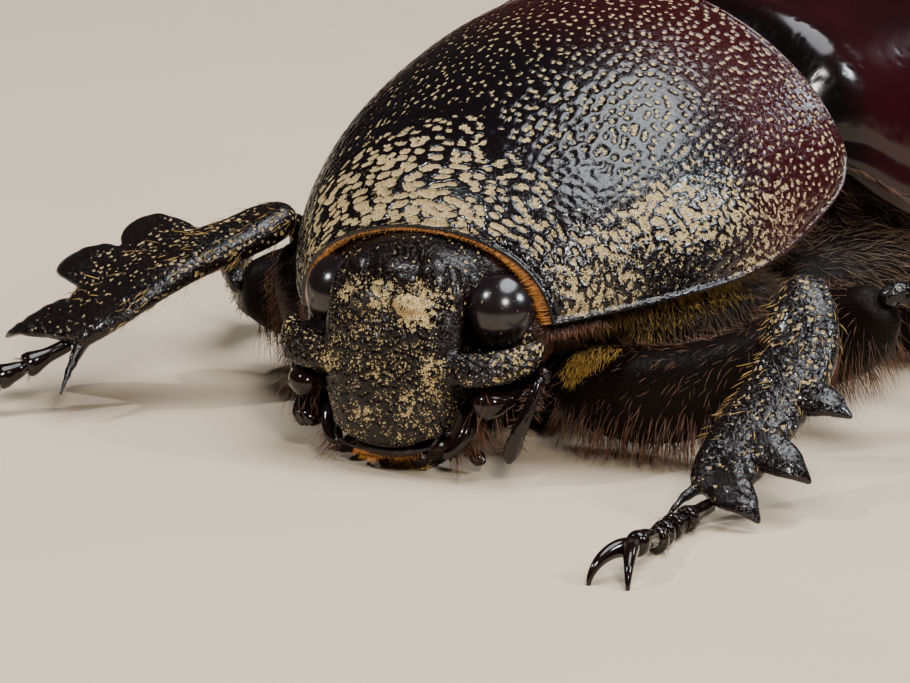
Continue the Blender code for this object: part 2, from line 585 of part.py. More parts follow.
def build_claws(name, tip, before, ways):
    """Pair of curved hooks in one bow, their points resting on the floor."""
    tip, before = Vector(tip), Vector(before)
    way = tip - before
    way.z = 0
    root = tip + way.normalized() * 0.42
    bow = []
    for side, (x, y) in zip((-1, 1), ways):
        out = Vector((x, y, 0)).normalized()
        hook = [(root + out * 0.45 + Vector((0, 0, 0.06)), 0.30),
                (root + out * 1.05 + Vector((0, 0, 0.02)), 0.29),
                (root + out * 1.60 + Vector((0, 0, -0.25)), 0.26),
                (root + out * 1.85 + Vector((0, 0, CLAW_DROP)), 0.25)]
        half = [(*spot, r, r) for spot, r in hook]
        bow = list(reversed(half)) + bow if side < 0 else bow + [(*root, 0.28, 0.28)] + half
    return limb(name, bow, (0, 0, 1), "claw_black", 6)


def build_leg(name, leg):
    limb("coxa_" + name, leg["coxa"], (0, 0, 1), "cuticle_brown", 8)
    limb("femur_" + name, leg["femur"], leg["femur_flat"], "cuticle_brown", 10)
    tibia = limb("tibia_" + name, leg["tibia"], leg["tibia_flat"], "cuticle_black", 10)
    thick = 0.62 if name.startswith("fore") else 0.38
    spines = [thorn(path, (thick, thick * 0.85, 0.25)) for path in leg["teeth"]]
    spines.append(thorn(leg["spur"], (0.32, 0.28, 0.25)))
    fuse(tibia, spines)
    build_tarsus("tarsus_" + name, leg["tarsus"])
    build_claws("claws_" + name, leg["tarsus"][-1], leg["tarsus"][-2], leg["claws"])


HEAD_PIECES = ("head", "eye_", "labrum", "mouthparts", "mandible", "palp", "antenna", "club")
TRUNK_PIECES = HEAD_PIECES + ("pronotum", "prosternum", "scutellum", "elytron", "metathorax",
                              "abdomen", "pygidium", "coxa")
ROLL_HEIGHT = 5.5
FLOOR_LEVEL = 0.06    # where the floor cuts the claws' points and the lower mouth


def lean(pieces, angle):
    """Roll pieces about a line along the body, the right side going down."""
    c, s = math.cos(angle), math.sin(angle)
    for made in bpy.data.collections[COLLECTION].objects:
        if made.name.startswith(pieces):
            for vert in made.data.vertices:
                x, z = vert.co.x, vert.co.z - ROLL_HEIGHT
                vert.co.x, vert.co.z = x * c - z * s, x * s + z * c + ROLL_HEIGHT


def settle_on_floor():
    """Press small flats where the animal rests, all at one level, then put the middle of the
    box on the origin and the flats on the floor, in metres."""
    pieces = list(bpy.data.collections[COLLECTION].objects)
    for made in pieces:
        for vert in made.data.vertices:
            vert.co.z = max(vert.co.z, FLOOR_LEVEL)
    points = [v.co for made in pieces for v in made.data.vertices]
    low = [min(p[i] for p in points) for i in range(3)]
    high = [max(p[i] for p in points) for i in range(3)]
    shift = Vector(((low[0] + high[0]) / 2, (low[1] + high[1]) / 2, low[2]))
    for made in pieces:
        for vert in made.data.vertices:
            vert.co = (vert.co - shift) * METRE
        made.data.update()


def main():
    for made in list(bpy.data.objects):
        bpy.data.objects.remove(made)
    collection(COLLECTION)
    build_pronotum()
    build_prosternum()
    build_head()
    build_eyes()
    build_mouth()
    build_antennae()
    build_elytra()
    build_scutellum()
    build_hind_body()
    for name, leg in LEGS.items():
        build_leg(name, leg)
    build_leg("hind_right", mirror_leg(HIND_LEFT))
    lean(HEAD_PIECES, HEAD_ROLL)
    lean(TRUNK_PIECES, BODY_ROLL)
    settle_on_floor()


main()
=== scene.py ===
# Rhinoceros beetle, hornless female, life size, head bowed to the floor. The body is drawn in
# millimetres with the mouth at the origin, the head towards -Y and the left side at +X, and each
# piece is then set down in the model's own frame in metres.
import itertools
import math
import bpy
import bmesh
import numpy as np
from mathutils import Matrix, Vector


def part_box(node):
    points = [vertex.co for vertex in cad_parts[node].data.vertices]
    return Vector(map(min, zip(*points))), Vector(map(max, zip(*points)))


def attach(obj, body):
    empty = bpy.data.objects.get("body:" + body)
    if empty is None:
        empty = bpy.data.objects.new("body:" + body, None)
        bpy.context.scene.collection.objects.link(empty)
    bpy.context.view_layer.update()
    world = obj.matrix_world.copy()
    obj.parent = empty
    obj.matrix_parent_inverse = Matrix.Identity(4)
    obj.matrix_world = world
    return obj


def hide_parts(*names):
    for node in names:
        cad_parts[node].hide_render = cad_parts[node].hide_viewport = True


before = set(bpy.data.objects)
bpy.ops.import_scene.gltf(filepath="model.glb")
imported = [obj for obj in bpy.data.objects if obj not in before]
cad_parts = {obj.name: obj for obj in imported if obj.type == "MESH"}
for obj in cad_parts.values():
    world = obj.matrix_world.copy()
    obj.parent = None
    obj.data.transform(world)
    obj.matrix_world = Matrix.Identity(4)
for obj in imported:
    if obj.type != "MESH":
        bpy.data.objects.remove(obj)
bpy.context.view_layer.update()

# --- Eyes ---------------------------------------------------------------------------------------
# Each compound eye is a glossy dome of thousands of tiny lenses, dark grey-brown, set in the side
# of the head above its shield-like bar. The left eye of the model fixes the frame of the body.
EYE_SEAT = (3.26, 1.66, 5.44)    # middle of the left eye's solid, and of the dome set in it
EYE_CENTRE, EYE_RADIUS = (3.20, 1.66, 5.46), 1.34
HEAD_ROLL, TRUNK_ROLL = math.radians(1.5), math.radians(3.5)
ROLL_HEIGHT = 5.5
MM = 0.001
SIDES = ((1, "left"), (-1, "right"))


def joined(*parts):
    """Points from their x, y and z, any of which may be one number for all."""
    return np.stack(np.broadcast_arrays(*parts), 1)


def rolled(points, roll):
    """Lean the body about a line along it, its left side up."""
    x, y, z = np.asarray(points, float).reshape(-1, 3).T
    c, s, z = math.cos(roll), math.sin(roll), z - ROLL_HEIGHT
    return joined(x * c - z * s, y, x * s + z * c + ROLL_HEIGHT)


seat_low, seat_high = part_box("eye_left")
ORIGIN = rolled(EYE_SEAT, HEAD_ROLL)[0] - np.array((seat_low + seat_high) / 2) / MM


def surface(mesh):
    """A mesh with its points and their normals."""
    spots, ways = np.empty((2, len(mesh.vertices) * 3))
    mesh.vertices.foreach_get("co", spots)
    mesh.vertex_normals.foreach_get("vector", ways)
    return mesh, spots.reshape(-1, 3), ways.reshape(-1, 3)


def set_coords(mesh, points):
    mesh.vertices.foreach_set("co", np.asarray(points, np.float32).ravel())
    mesh.update()


def note(mesh, **values):
    """Store numbers on the vertices for the materials to read."""
    for name, value in values.items():
        made = mesh.attributes.get(name) or mesh.attributes.new(name, "FLOAT", "POINT")
        made.data.foreach_set("value", np.broadcast_to(value, len(mesh.vertices)).astype(np.float32))


def to_mesh(bm, name):
    mesh = bpy.data.meshes.new(name)
    bm.to_mesh(mesh)
    bm.free()
    mesh.shade_smooth()
    return mesh


def set_down(mesh, points, material, nodes=(), roll=0.0, **marks):
    """Finish a piece: mark it, lean it, put its points in their place in metres with a flat
    where they meet the floor, and hang it on the body."""
    note(mesh, **marks)
    spots = (rolled(points, roll) - ORIGIN) * MM
    spots[:, 2] = np.maximum(spots[:, 2], 0)
    set_coords(mesh, spots)
    made = bpy.data.objects.new(mesh.name, mesh)
    bpy.context.scene.collection.objects.link(made)
    mesh.materials.clear()
    mesh.materials.append(material)
    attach(made, "root")
    if nodes:
        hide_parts(*nodes)
    return made


def put(tree, kind, inputs=(), **settings):
    """Add a node. Inputs go by name or number; a socket is linked, all else is a value."""
    made = tree.nodes.new(kind)
    for name, value in settings.items():
        setattr(made, name, value)
    for name, value in dict(inputs).items():
        if isinstance(value, bpy.types.NodeSocket):
            tree.links.new(value, made.inputs[name])
        else:
            made.inputs[name].default_value = value
    return made


def fresh_material(name):
    made = bpy.data.materials.new(name)
    made.use_nodes = True
    made.node_tree.nodes.clear()
    return made, made.node_tree


def close_material(tree, inputs):
    shader = put(tree, "ShaderNodeBsdfPrincipled", inputs)
    put(tree, "ShaderNodeOutputMaterial", {"Surface": shader.outputs[0]})


def object_place(tree):
    return put(tree, "ShaderNodeTexCoord").outputs["Object"]


def noise(tree, place, scale, detail):
    return put(tree, "ShaderNodeTexNoise", {"Vector": place, "Scale": scale, "Detail": detail})


def blended(tree, share, a, b):
    return put(tree, "ShaderNodeMix", {0: share, 6: a, 7: b}, data_type="RGBA").outputs[2]


def spread(tree, value, low, high):
    """A value from 0 to 1 laid out between low and high."""
    return put(tree, "ShaderNodeMapRange", {"Value": value, "To Min": low, "To Max": high}).outputs[0]


def picked(tree, value, low, high, kind="SMOOTHSTEP"):
    """Where a value between low and high stands, from 0 to 1."""
    return put(tree, "ShaderNodeMapRange", {"Value": value, "From Min": low, "From Max": high},
               interpolation_type=kind).outputs[0]


def bumped(tree, height, strength, distance):
    return put(tree, "ShaderNodeBump", {"Height": height, "Strength": strength,
                                        "Distance": distance}).outputs[0]


def eye_glass():
    made, tree = fresh_material("eye_glass")
    place = object_place(tree)
    lens = put(tree, "ShaderNodeTexVoronoi", {"Vector": place, "Scale": 26000.0})
    cloud = noise(tree, place, 900.0, 4.0).outputs[0]
    speck = noise(tree, place, 6000.0, 2.0).outputs[0]
    tint = blended(tree, cloud, (0.003, 0.002, 0.003, 1), (0.010, 0.005, 0.006, 1))
    colour = blended(tree, picked(tree, speck, 0.70, 0.76), tint, (0.30, 0.22, 0.14, 1))
    close_material(tree, {"Base Color": colour, "Roughness": spread(tree, cloud, 0.14, 0.24),
                          "Normal": bumped(tree, lens.outputs["Distance"], 0.10, 0.00001),
                          "IOR": 1.52, "Coat Weight": 0.12, "Coat Roughness": 0.20})
    return made


def eye_piece(side, name):
    bm = bmesh.new()
    bmesh.ops.create_icosphere(bm, subdivisions=6, radius=EYE_RADIUS)
    bmesh.ops.scale(bm, vec=(0.97, 1.0, 1.03), verts=bm.verts)
    mesh, p, _ = surface(to_mesh(bm, name + "_dome"))
    set_down(mesh, p + np.multiply(EYE_CENTRE, (side, 1, 1)), EYE_GLASS, [name], HEAD_ROLL)


EYE_GLASS = eye_glass()
for side, name in SIDES:
    eye_piece(side, "eye_" + name)

# --- Pronotum -----------------------------------------------------------------------------------
# The great shield over the forebody: one black plate of hard cuticle, maroon towards its base,
# closely pitted, with fine soil packed in the pits. Its edges are a thin raised bead.
MARGIN_Y = ((0, 1.8), (0.25, 4.6), (0.5, 8.2), (0.75, 11.6), (0.92, 14.2), (1, 15.0))
MARGIN_X = ((0, 5.0), (0.25, 7.2), (0.5, 8.8), (0.75, 9.15), (0.92, 9.0), (1, 8.65))
MARGIN_Z = ((0, 4.87), (0.25, 5.22), (0.5, 5.7), (0.75, 6.7), (0.92, 7.9), (1, 8.7))
MIDLINE_Y = ((0, 1.4), (0.25, 3.6), (0.5, 7.0), (0.75, 10.6), (1, 14.2))
MIDLINE_Z = ((0, 8.0), (0.25, 10.5), (0.5, 12.7), (0.75, 14.1), (1, 14.6))
ARCH = ((0, 0.85), (0.5, 1.0), (1, 1.25))
SHIELD_COLUMNS, SHIELD_ROWS = 410, 216
SHIELD_MIDDLE, SHIELD_THICKNESS = 7.0, 0.24
SOIL_PATCHES = ((0.18, -0.36, 0.1, 0.26, 0.9), (0.08, -0.02, 0.07, 0.24, 0.7),
                (0.06, 0.24, 0.05, 0.16, 0.3), (0.34, 0.66, 0.09, 0.08, 0.6), (0.24, 0.7, 0.1, 0.08, 0.35),
                (0.44, 0.79, 0.12, 0.08, 0.5))


def curve(table, s):
    """Smooth value at s through rows of (position, value)."""
    x, v = np.array(table, float).T
    slope = np.gradient(v, x)
    i = np.clip(np.searchsorted(x, s, side="right") - 1, 0, len(x) - 2)
    h = x[i + 1] - x[i]
    k = np.clip((s - x[i]) / h, 0, 1)
    return ((2 * k**3 - 3 * k**2 + 1) * v[i] + (k**3 - 2 * k**2 + k) * h * slope[i]
            + (3 * k**2 - 2 * k**3) * v[i + 1] + (k**3 - k**2) * h * slope[i + 1])


def ease(low, high, value):
    k = np.clip((value - low) / (high - low), 0, 1)
    return k * k * (3 - 2 * k)


def unit(v):
    return v / (np.linalg.norm(v, axis=1)[:, None] + 1e-12)


def scatter_table(seed, width):
    return np.random.default_rng(seed).random((4096, width))


def pores(points, size, seed=1):
    """Distance to the nearest of many scattered points, in shares of size, and its own number."""
    q = points / size
    cell = np.floor(q).astype(int)
    dims = q.shape[1]
    table = scatter_table(seed, dims + 1)
    best, tag = np.full(len(q), 9.0), np.zeros(len(q))
    for step in itertools.product((-1, 0, 1), repeat=dims):
        spot = cell + step
        row = table[(spot * (73, 157, 229)[:dims]).sum(1) % 4096]
        gap = np.linalg.norm(spot + 0.12 + 0.76 * row[:, :-1] - q, axis=1)
        nearer = gap < best
        best[nearer], tag[nearer] = gap[nearer], row[nearer, -1]
    return best, tag


def drift(points, size, seed=1):
    """Smooth random value from -1 to 1."""
    q = points / size
    cell = np.floor(q).astype(int)
    f = q - cell
    f = f * f * (3 - 2 * f)
    table = scatter_table(seed, 1)[:, 0]
    total = np.zeros(len(q))
    for step in itertools.product((0, 1), repeat=q.shape[1]):
        share = np.prod(np.where(np.array(step) == 1, f, 1 - f), axis=1)
        total += share * table[((cell + step) * (73, 157, 229)[:q.shape[1]]).sum(1) % 4096]
    return total * 2 - 1


def rubble(points, size, seed=1):
    """Drift in three sizes, for ragged patches."""
    return (drift(points, size, seed) + 0.5 * drift(points, size / 2.1, seed + 1)
            + 0.25 * drift(points, size / 4.3, seed + 2)) / 1.75


def wander(points, size, seeds, by):
    """Shifts that make a regular pattern ragged."""
    return np.stack([drift(points, size, seed) for seed in seeds], 1) * by


def pronotum_point(s, t):
    angle = t * math.pi / 2
    rise = np.maximum(np.cos(angle), 0)
    y, z = curve(MARGIN_Y, s), curve(MARGIN_Z, s)
    return joined(curve(MARGIN_X, s) * np.sin(angle), y + (curve(MIDLINE_Y, s) - y) * rise,
                  z + (curve(MIDLINE_Z, s) - z) * rise ** curve(ARCH, s))


def grid_of(bm, columns, rows):
    """Flat grid; returns its vertices and each one's place across and along, from 0 to 1."""
    made = bmesh.ops.create_grid(bm, x_segments=columns, y_segments=rows, size=1)["verts"]
    flat = np.array([v.co[:2] for v in made])
    return made, (flat[:, 0] + 1) / 2, (flat[:, 1] + 1) / 2


def put_at(verts, spots):
    """Move grid vertices to their spots on a shape."""
    for vert, spot in zip(verts, spots):
        vert.co = spot


def attribute(tree, name):
    return put(tree, "ShaderNodeAttribute", attribute_name=name).outputs["Fac"]


def shell_group():
    """Pitted cuticle with soil in its pits, as colour, roughness and normal. On the head the pale flecks
    are partly real soil and partly painted glints.
    """
    tree = bpy.data.node_groups.new("pitted_cuticle", "ShaderNodeTree")
    for way, kind, names in (("INPUT", "NodeSocketColor", ("Dark", "Warm", "Soil_and_glint")),
                             ("INPUT", "NodeSocketFloat", ("Gloss", "Grain", "Dust", "Lace")),
                             ("OUTPUT", "NodeSocketColor", ("Color",)),
                             ("OUTPUT", "NodeSocketFloat", ("Roughness",)),
                             ("OUTPUT", "NodeSocketVector", ("Normal",))):
        for name in names:
            tree.interface.new_socket(name, in_out=way, socket_type=kind)
    inner = put(tree, "NodeGroupInput").outputs
    place = object_place(tree)
    pit, soil, warm = (attribute(tree, name) for name in ("pit", "soil", "warm"))
    fine, dots = noise(tree, place, 9000.0, 5.0), noise(tree, place, 24000.0, 3.0).outputs[0]
    broad = noise(tree, place, 500.0, 3.0).outputs[0]

    def add(a, b, operation="ADD"):
        return put(tree, "ShaderNodeMath", {0: a, 1: b}, operation=operation).outputs[0]

    def times(a, b):
        return add(a, b, "MULTIPLY")

    def centred(value, by):
        return times(add(value, 0.5, "SUBTRACT"), by)

    warp = put(tree, "ShaderNodeMix", {0: 0.00012, 4: place, 5: fine.outputs["Color"]},
               data_type="VECTOR").outputs[1]
    fine = fine.outputs[0]
    cells = put(tree, "ShaderNodeTexVoronoi", {"Vector": warp, "Scale": 11500.0})
    lace = times(picked(tree, cells.outputs["Distance"], 0.55, 0.15), inner["Lace"])
    level = add(times(pit, 0.72), add(soil, times(lace, 0.5)))
    level = add(add(level, centred(fine, 0.55)), centred(dots, 0.75))
    mask = picked(tree, add(level, inner["Dust"]), 0.97, 1.06)
    tone = times(warm, add(times(broad, 0.8), 0.6))
    worn = picked(tree, dots, 0.38, 0.62, "LINEAR")
    dirt = blended(tree, worn, (0.13, 0.075, 0.030, 1), inner["Soil_and_glint"])
    colour = blended(tree, mask, blended(tree, tone, inner["Dark"], inner["Warm"]), dirt)
    gloss = add(inner["Gloss"], centred(fine, 0.12))
    rough = put(tree, "ShaderNodeMix", {0: mask, 2: gloss, 3: 0.9}, data_type="FLOAT").outputs[0]
    height = add(times(dots, inner["Grain"]), add(times(mask, 0.5), lace, "SUBTRACT"))
    height = add(height, times(fine, times(inner["Lace"], 0.8)))
    put(tree, "NodeGroupOutput", {"Color": colour, "Roughness": rough,
                                  "Normal": bumped(tree, height, 0.8, 0.00003)})
    return tree


CUTICLE = shell_group()


def cuticle(name, dark, warm, gloss, shine, soil=(0.42, 0.27, 0.125), lace=0.0, grain=0.06,
            dust=0.0, coat=0.0, coat_rough=0.12):
    """Material of one kind of hard cuticle."""
    made, tree = fresh_material(name)
    skin = put(tree, "ShaderNodeGroup", node_tree=CUTICLE)
    for key, value in (("Dark", (*dark, 1)), ("Warm", (*warm, 1)), ("Soil_and_glint", (*soil, 1)),
                       ("Gloss", gloss), ("Grain", grain), ("Dust", dust), ("Lace", lace)):
        skin.inputs[key].default_value = value
    close_material(tree, {"Base Color": skin.outputs["Color"],
                          "Roughness": skin.outputs["Roughness"],
                          "Normal": skin.outputs["Normal"], "IOR": 1.52,
                          "Specular IOR Level": shine, "Coat Weight": coat,
                          "Coat Roughness": coat_rough})
    return made


SHIELD_SHELL = cuticle("shield_shell", (0.0018, 0.0014, 0.0022), (0.024, 0.0016, 0.003), 0.17,
                       0.42, (0.58, 0.43, 0.21), 0.18, coat=0.05, coat_rough=0.1)
ruler_s, ruler_t = np.linspace(0, 1, 41), np.linspace(0, 1, 61)
steps = pronotum_point(*[a.ravel() for a in np.meshgrid(ruler_s, ruler_t, indexing="ij")])
steps = steps.reshape(len(ruler_s), len(ruler_t), 3)
HALF_ROUND = np.linalg.norm(np.diff(steps, axis=1), axis=2).sum(1)
LENGTHS = np.linalg.norm(np.diff(steps, axis=0), axis=2).sum(0)


def pronotum_piece():
    bm = bmesh.new()
    top, across, back = grid_of(bm, SHIELD_COLUMNS, SHIELD_ROWS)
    s = back - 0.05 * np.sin(2 * math.pi * back)
    k = across * 2 - 1
    t = k + 0.06 * np.sin(math.pi * k) * np.abs(k)
    put_at(top, pronotum_point(s, t))
    outer = [e for e in bm.edges if e.is_boundary]
    low, u, v = grid_of(bm, 40, 22)
    inner = pronotum_point(v, u * 2 - 1)
    inner += unit(joined(0, inner[:, 1], SHIELD_MIDDLE) - inner) * SHIELD_THICKNESS
    put_at(low, inner)
    under = set(low)
    lower = [e for e in bm.edges if e.is_boundary and e.verts[0] in under]
    bmesh.ops.reverse_faces(bm, faces=[f for f in bm.faces if f.verts[0] in under])
    bmesh.ops.bridge_loops(bm, edges=outer + lower)
    bmesh.ops.recalc_face_normals(bm, faces=bm.faces)
    mesh = to_mesh(bm, "pronotum_shield")
    count = len(s)
    _, p, n = surface(mesh)
    off = np.abs(t)
    half, length = np.interp(s, ruler_s, HALF_ROUND), np.interp(off, ruler_t, LENGTHS)
    u, v = t * half, s * length
    edge = np.minimum.reduce(((1 - off) * half, v, (1 - s) * length))
    flat = joined(u, v)
    front = ease(0.46, 0.16, s + 0.07 * drift(flat, 2.4, 3) + 0.10 * off)
    sides = ease(0.52, 0.80, off + 0.10 * drift(flat, 2.0, 4)) * ease(1.05, 0.6, s)
    rings = ease(1.3, 0.4, np.hypot((s - 0.38) / 0.16, (off - 0.34) / 0.24))
    wild = wander(flat, 0.7, (5, 6), 1)
    # pits: round behind, drawn out across the plate in front, crowded in the middle
    near, own = pores(flat + 0.06 * wild, 0.35, 11)
    reach = 0.31 + 0.10 * rings + 0.10 * (own - 0.5)
    small = ease(reach, 0.55 * reach, near)
    near, own = pores(joined(u / 1.8, v * 1.05) + 0.10 * wild, 0.31, 13)
    reach = 0.32 + 0.15 * front + 0.14 * (own - 0.5)
    round_pit = np.maximum(small * ease(0.7, 0.3, front),
                           ease(reach, 0.62 * reach, near) * ease(0.25, 0.7, front))
    # wrinkles: short broken furrows on the sides and along the front edge
    furrow = ease(0.60, 0.30, pores((flat + 0.22 * wild) / (1.7, 1), 0.19, 12)[0])
    mix = np.clip(0.85 * sides + 0.6 * ease(0.12, 0.03, s), 0, 1)
    pit = round_pit * (1 - mix) + np.maximum(furrow, 0.8 * round_pit) * mix
    calm = ease(0.0, 0.20, edge)
    pit *= calm
    depth = 0.040 + 0.012 * front + 0.030 * rings
    rise = -depth * pit + 0.010 * rubble(flat, 1.6, 7) * calm
    bead = ease(0.0, 0.05, edge) * ease(0.24, 0.10, edge)
    rise += 0.06 * bead - 0.045 * ease(0.16, 0.26, edge) * ease(0.42, 0.28, edge)
    rise -= 0.10 * ease(0.06, 0.0, edge)
    p[:count] += n[:count] * rise[:, None]
    # soil lies in the pits, and over everything in a few patches
    soil = 0.42 + 0.18 * rubble(flat, 2.6, 21) + 0.08 * rubble(flat, 0.6, 22)
    for at_s, at_t, wide_s, wide_t, amount in SOIL_PATCHES:
        far = np.hypot((s - at_s) / wide_s, (t - at_t) / wide_t) + 0.45 * rubble(flat, 1.2, 23)
        soil += 0.42 * amount * ease(1.5, 0.35, far)
    soil += 0.02 * front - 0.08 * sides - 0.05 * rings
    soil -= 0.30 * ease(0.9, 0.2, v) * ease(0.25, 0.5, t) * ease(1.0, 0.97, t)
    soil -= 0.5 * ease(0.10, 0.0, edge)
    warm = ease(0.45, 0.85, s + 0.25 * off - 0.1 + 0.1 * drift(flat, 3.0, 24)) * 0.9 + 0.05
    pit, soil, warm = (np.pad(values, (0, len(p) - count), constant_values=fill)
                       for values, fill in ((pit, 0.0), (soil, -1.0), (warm, 0.6)))
    set_down(mesh, p, SHIELD_SHELL, ["pronotum"], TRUNK_ROLL, pit=pit, soil=soil, warm=warm)


pronotum_piece()

# --- Elytra -------------------------------------------------------------------------------------
# The two wing cases meet along a straight seam and cover the hind body: thin domed shells of
# polished dark maroon cuticle, finely pricked, with a fine bead along the seam and the side.
ELYTRA_START, ELYTRA_END = 15.1, 38.0
SCUTELLUM_WIDTH, SCUTELLUM_LENGTH = 3.6, 3.2
SEAM = 0.03
WING_CASE, SCUTELLUM_DEPTH = 0.32, 0.4
ELYTRA_X = ((0, 7.0), (0.05, 7.9), (0.12, 8.7), (0.25, 9.3), (0.5, 9.9), (0.72, 9.7), (0.88, 8.3),
            (0.96, 6.3), (1, 4.0))
ELYTRA_EDGE_Z = ((0, 8.6), (0.05, 7.5), (0.12, 6.3), (0.35, 5.6), (0.65, 5.8), (0.87, 6.5), (1, 7.3))
ELYTRA_MID_Z = ((0, 11.7), (0.03, 12.9), (0.055, 13.7), (0.12, 14.15), (0.35, 15.0), (0.6, 14.5),
                (0.8, 12.8), (0.92, 10.6), (1, 8.2))
ELYTRA_ARCH = ((0, 0.62), (0.03, 0.54), (0.06, 0.50), (0.16, 0.55), (1, 0.78))


def elytron_point(s, t):
    y = ELYTRA_START + (ELYTRA_END - ELYTRA_START) * s
    notch = np.maximum(1 - (y - ELYTRA_START) / SCUTELLUM_LENGTH, 0)
    inner = SEAM + notch * SCUTELLUM_WIDTH / 2
    wide = curve(ELYTRA_X, s)
    x = inner + (wide - inner) * np.sin(t * math.pi / 2)
    rise = np.sqrt(np.maximum(1 - np.minimum(x / wide, 1) ** 2, 0))
    edge = curve(ELYTRA_EDGE_Z, s)
    z = edge + (curve(ELYTRA_MID_Z, s) - edge) * rise ** curve(ELYTRA_ARCH, s)
    return joined(x, y - 0.9 * (1 - rise) * (s - 0.5), z)


def plate(bm, name):
    """Mesh of an open sheet, its top side up."""
    bm.normal_update()
    if sum(f.normal.z for f in bm.faces) < 0:
        bmesh.ops.reverse_faces(bm, faces=bm.faces)
    return to_mesh(bm, name)


def thicken(piece, depth):
    made = piece.modifiers.new("thickness", "SOLIDIFY")
    made.thickness, made.offset = depth * MM, -1


WING_SHELL = cuticle("wing_shell", (0.002, 0.001, 0.0012), (0.018, 0.0014, 0.003), 0.17, 0.3,
                     grain=0.04, coat=0.03, coat_rough=0.06)


def elytron_piece(side, name):
    bm = bmesh.new()
    verts, t, back = grid_of(bm, 96, 160)
    s = back - 0.045 * np.sin(2 * math.pi * back)
    p = elytron_point(s, t)
    put_at(verts, p)
    mesh, _, n = surface(plate(bm, name + "_case"))
    flat = joined(t * 14, s * 23)
    seam, rim = p[:, 0] - SEAM, (1 - t) * 13
    streak = np.sin(p[:, 0] / 0.62 + 0.8 * drift(flat, 4.0, 31)) * ease(0.1, 0.25, s)
    near, own = pores(flat * (1, 0.8), 0.55, 32)
    pit = ease(0.24, 0.10, near + 0.1 * own) * ease(0.2, 0.5, rim)
    rise = -0.025 * pit + 0.010 * streak * ease(0.05, 0.3, 1 - t) + 0.02 * rubble(flat, 2.2, 33)
    rise -= 0.05 * ease(0.12, 0.30, seam) * ease(0.55, 0.38, seam) * ease(0.1, 0.2, s)
    rise += 0.05 * ease(0.30, 0.12, rim) - 0.05 * ease(0.28, 0.4, rim) * ease(0.65, 0.5, rim)
    p = p + n * rise[:, None]
    if side < 0:
        mesh.flip_normals()
    # The maroon tone fades to black over the front strip of each case: painted shade for the slope that
    # lies in shadow behind the shield.
    made = set_down(mesh, p * (side, 1, 1), WING_SHELL, [name], TRUNK_ROLL, pit=pit,
                    soil=0.12 + 0.2 * rubble(flat, 2.0, 34) + 0.25 * ease(0.06, 0.0, s),
                    warm=(0.55 + 0.5 * rubble(flat, 3.5, 35)) * ease(0.04, 0.10, s))
    thicken(made, WING_CASE)


for side, name in SIDES:
    elytron_piece(side, "elytron_" + name)

# --- Scutellum ----------------------------------------------------------------------------------
# A small smooth three-sided shield, wedged between the roots of the wing cases.
def scutellum_piece():
    bm = bmesh.new()
    verts, across, back = grid_of(bm, 40, 40)
    k = across * 2 - 1
    x = ((SCUTELLUM_WIDTH / 2 - 0.14) * (1 - back) ** 0.82 + 0.02) * k
    put_at(verts, joined(x, ELYTRA_START - 0.05 + back * (SCUTELLUM_LENGTH - 0.2),
                         curve(ELYTRA_MID_Z, back * 0.135) + 0.02 - 0.10 * (x / 1.7) ** 2
                         - 0.05 * k**8))
    mesh, p, _ = surface(plate(bm, "scutellum_shield"))
    pit = ease(0.25, 0.1, pores(p[:, :2], 0.4, 41)[0])
    p[:, 2] -= 0.02 * pit
    made = set_down(mesh, p, WING_SHELL, ["scutellum"], TRUNK_ROLL, pit=pit, soil=0.35, warm=0.5)
    thicken(made, SCUTELLUM_DEPTH)


scutellum_piece()

# --- Head ---------------------------------------------------------------------------------------
# The head capsule is bent down so that its flat face looks forward: a rough, wrinkled frons and
# clypeus with two low bumps, a polished crown, and at each side a bar that cups the eye.
HEAD_LEVELS = ((0.92, 1.75, -0.92, 0.05, 2.6), (1.1, 2.05, -1.08, 0.5, 2.8), (1.9, 2.32, -1.22, 0.8, 2.7),
               (2.7, 2.5, -1.26, 0.95, 2.5), (3.5, 2.62, -1.22, 0.95, 2.5), (4.3, 2.64, -1.1, 0.95, 2.5),
               (5.3, 2.62, -0.84, 1.05, 2.5), (6.2, 2.48, -0.4, 1.4, 2.4), (6.9, 2.05, 0.1, 1.9, 2.1),
               (7.4, 1.45, 0.66, 2.0, 2.0), (7.75, 0.8, 1.15, 1.9, 2.0))
CROWN = 7.75
# the bar that scoops round below the eye, the web behind it, the fold between face and eye, and
# one half of the brim along the face's lower edge
EYE_BAR = ((1.9, -0.42, 3.78, 0.4, 0.44), (2.7, -0.46, 3.8, 0.54, 0.38), (3.5, -0.28, 3.84, 0.6, 0.34),
           (4.3, 0.14, 3.98, 0.56, 0.3), (4.84, 0.75, 4.22, 0.46, 0.26), (4.96, 1.4, 4.52, 0.3, 0.2))
BAR_WEB = ((1.8, 0.5, 3.65, 0.9, 0.5), (3.0, 0.7, 3.7, 1.0, 0.45), (4.2, 1.0, 3.95, 0.8, 0.35),
           (4.75, 1.3, 4.3, 0.5, 0.25))
FACE_FOLD = ((1.5, 0.75, 7.0, 0.26, 0.24), (1.98, 0.46, 6.7, 0.32, 0.32), (2.22, 0.24, 6.2, 0.34, 0.34),
             (2.3, 0.04, 5.4, 0.34, 0.34), (2.33, -0.1, 4.7, 0.34, 0.34), (2.36, -0.26, 4.0, 0.32, 0.32),
             (2.3, -0.46, 3.2, 0.24, 0.22), (2.14, -0.6, 2.3, 0.16, 0.16))
BRIM = ((1.2, -1.09, 1.0, 0.08, 0.07), (1.96, -0.8, 1.24, 0.08, 0.07), (2.1, -0.46, 1.62, 0.07, 0.06))
FACE_SOIL = ((1.25, 5.75, 0.75, 0.85), (-0.2, 6.1, 0.6, 0.7), (-1.5, 6.1, 0.5, 0.5), (-1.9, 3.6, 0.5, 0.35),
             (-0.6, 2.2, 0.4, 0.5), (1.2, 2.4, 0.5, 0.35), (2.15, 3.9, 0.5, 0.5), (0.2, 3.4, 0.6, 0.2))


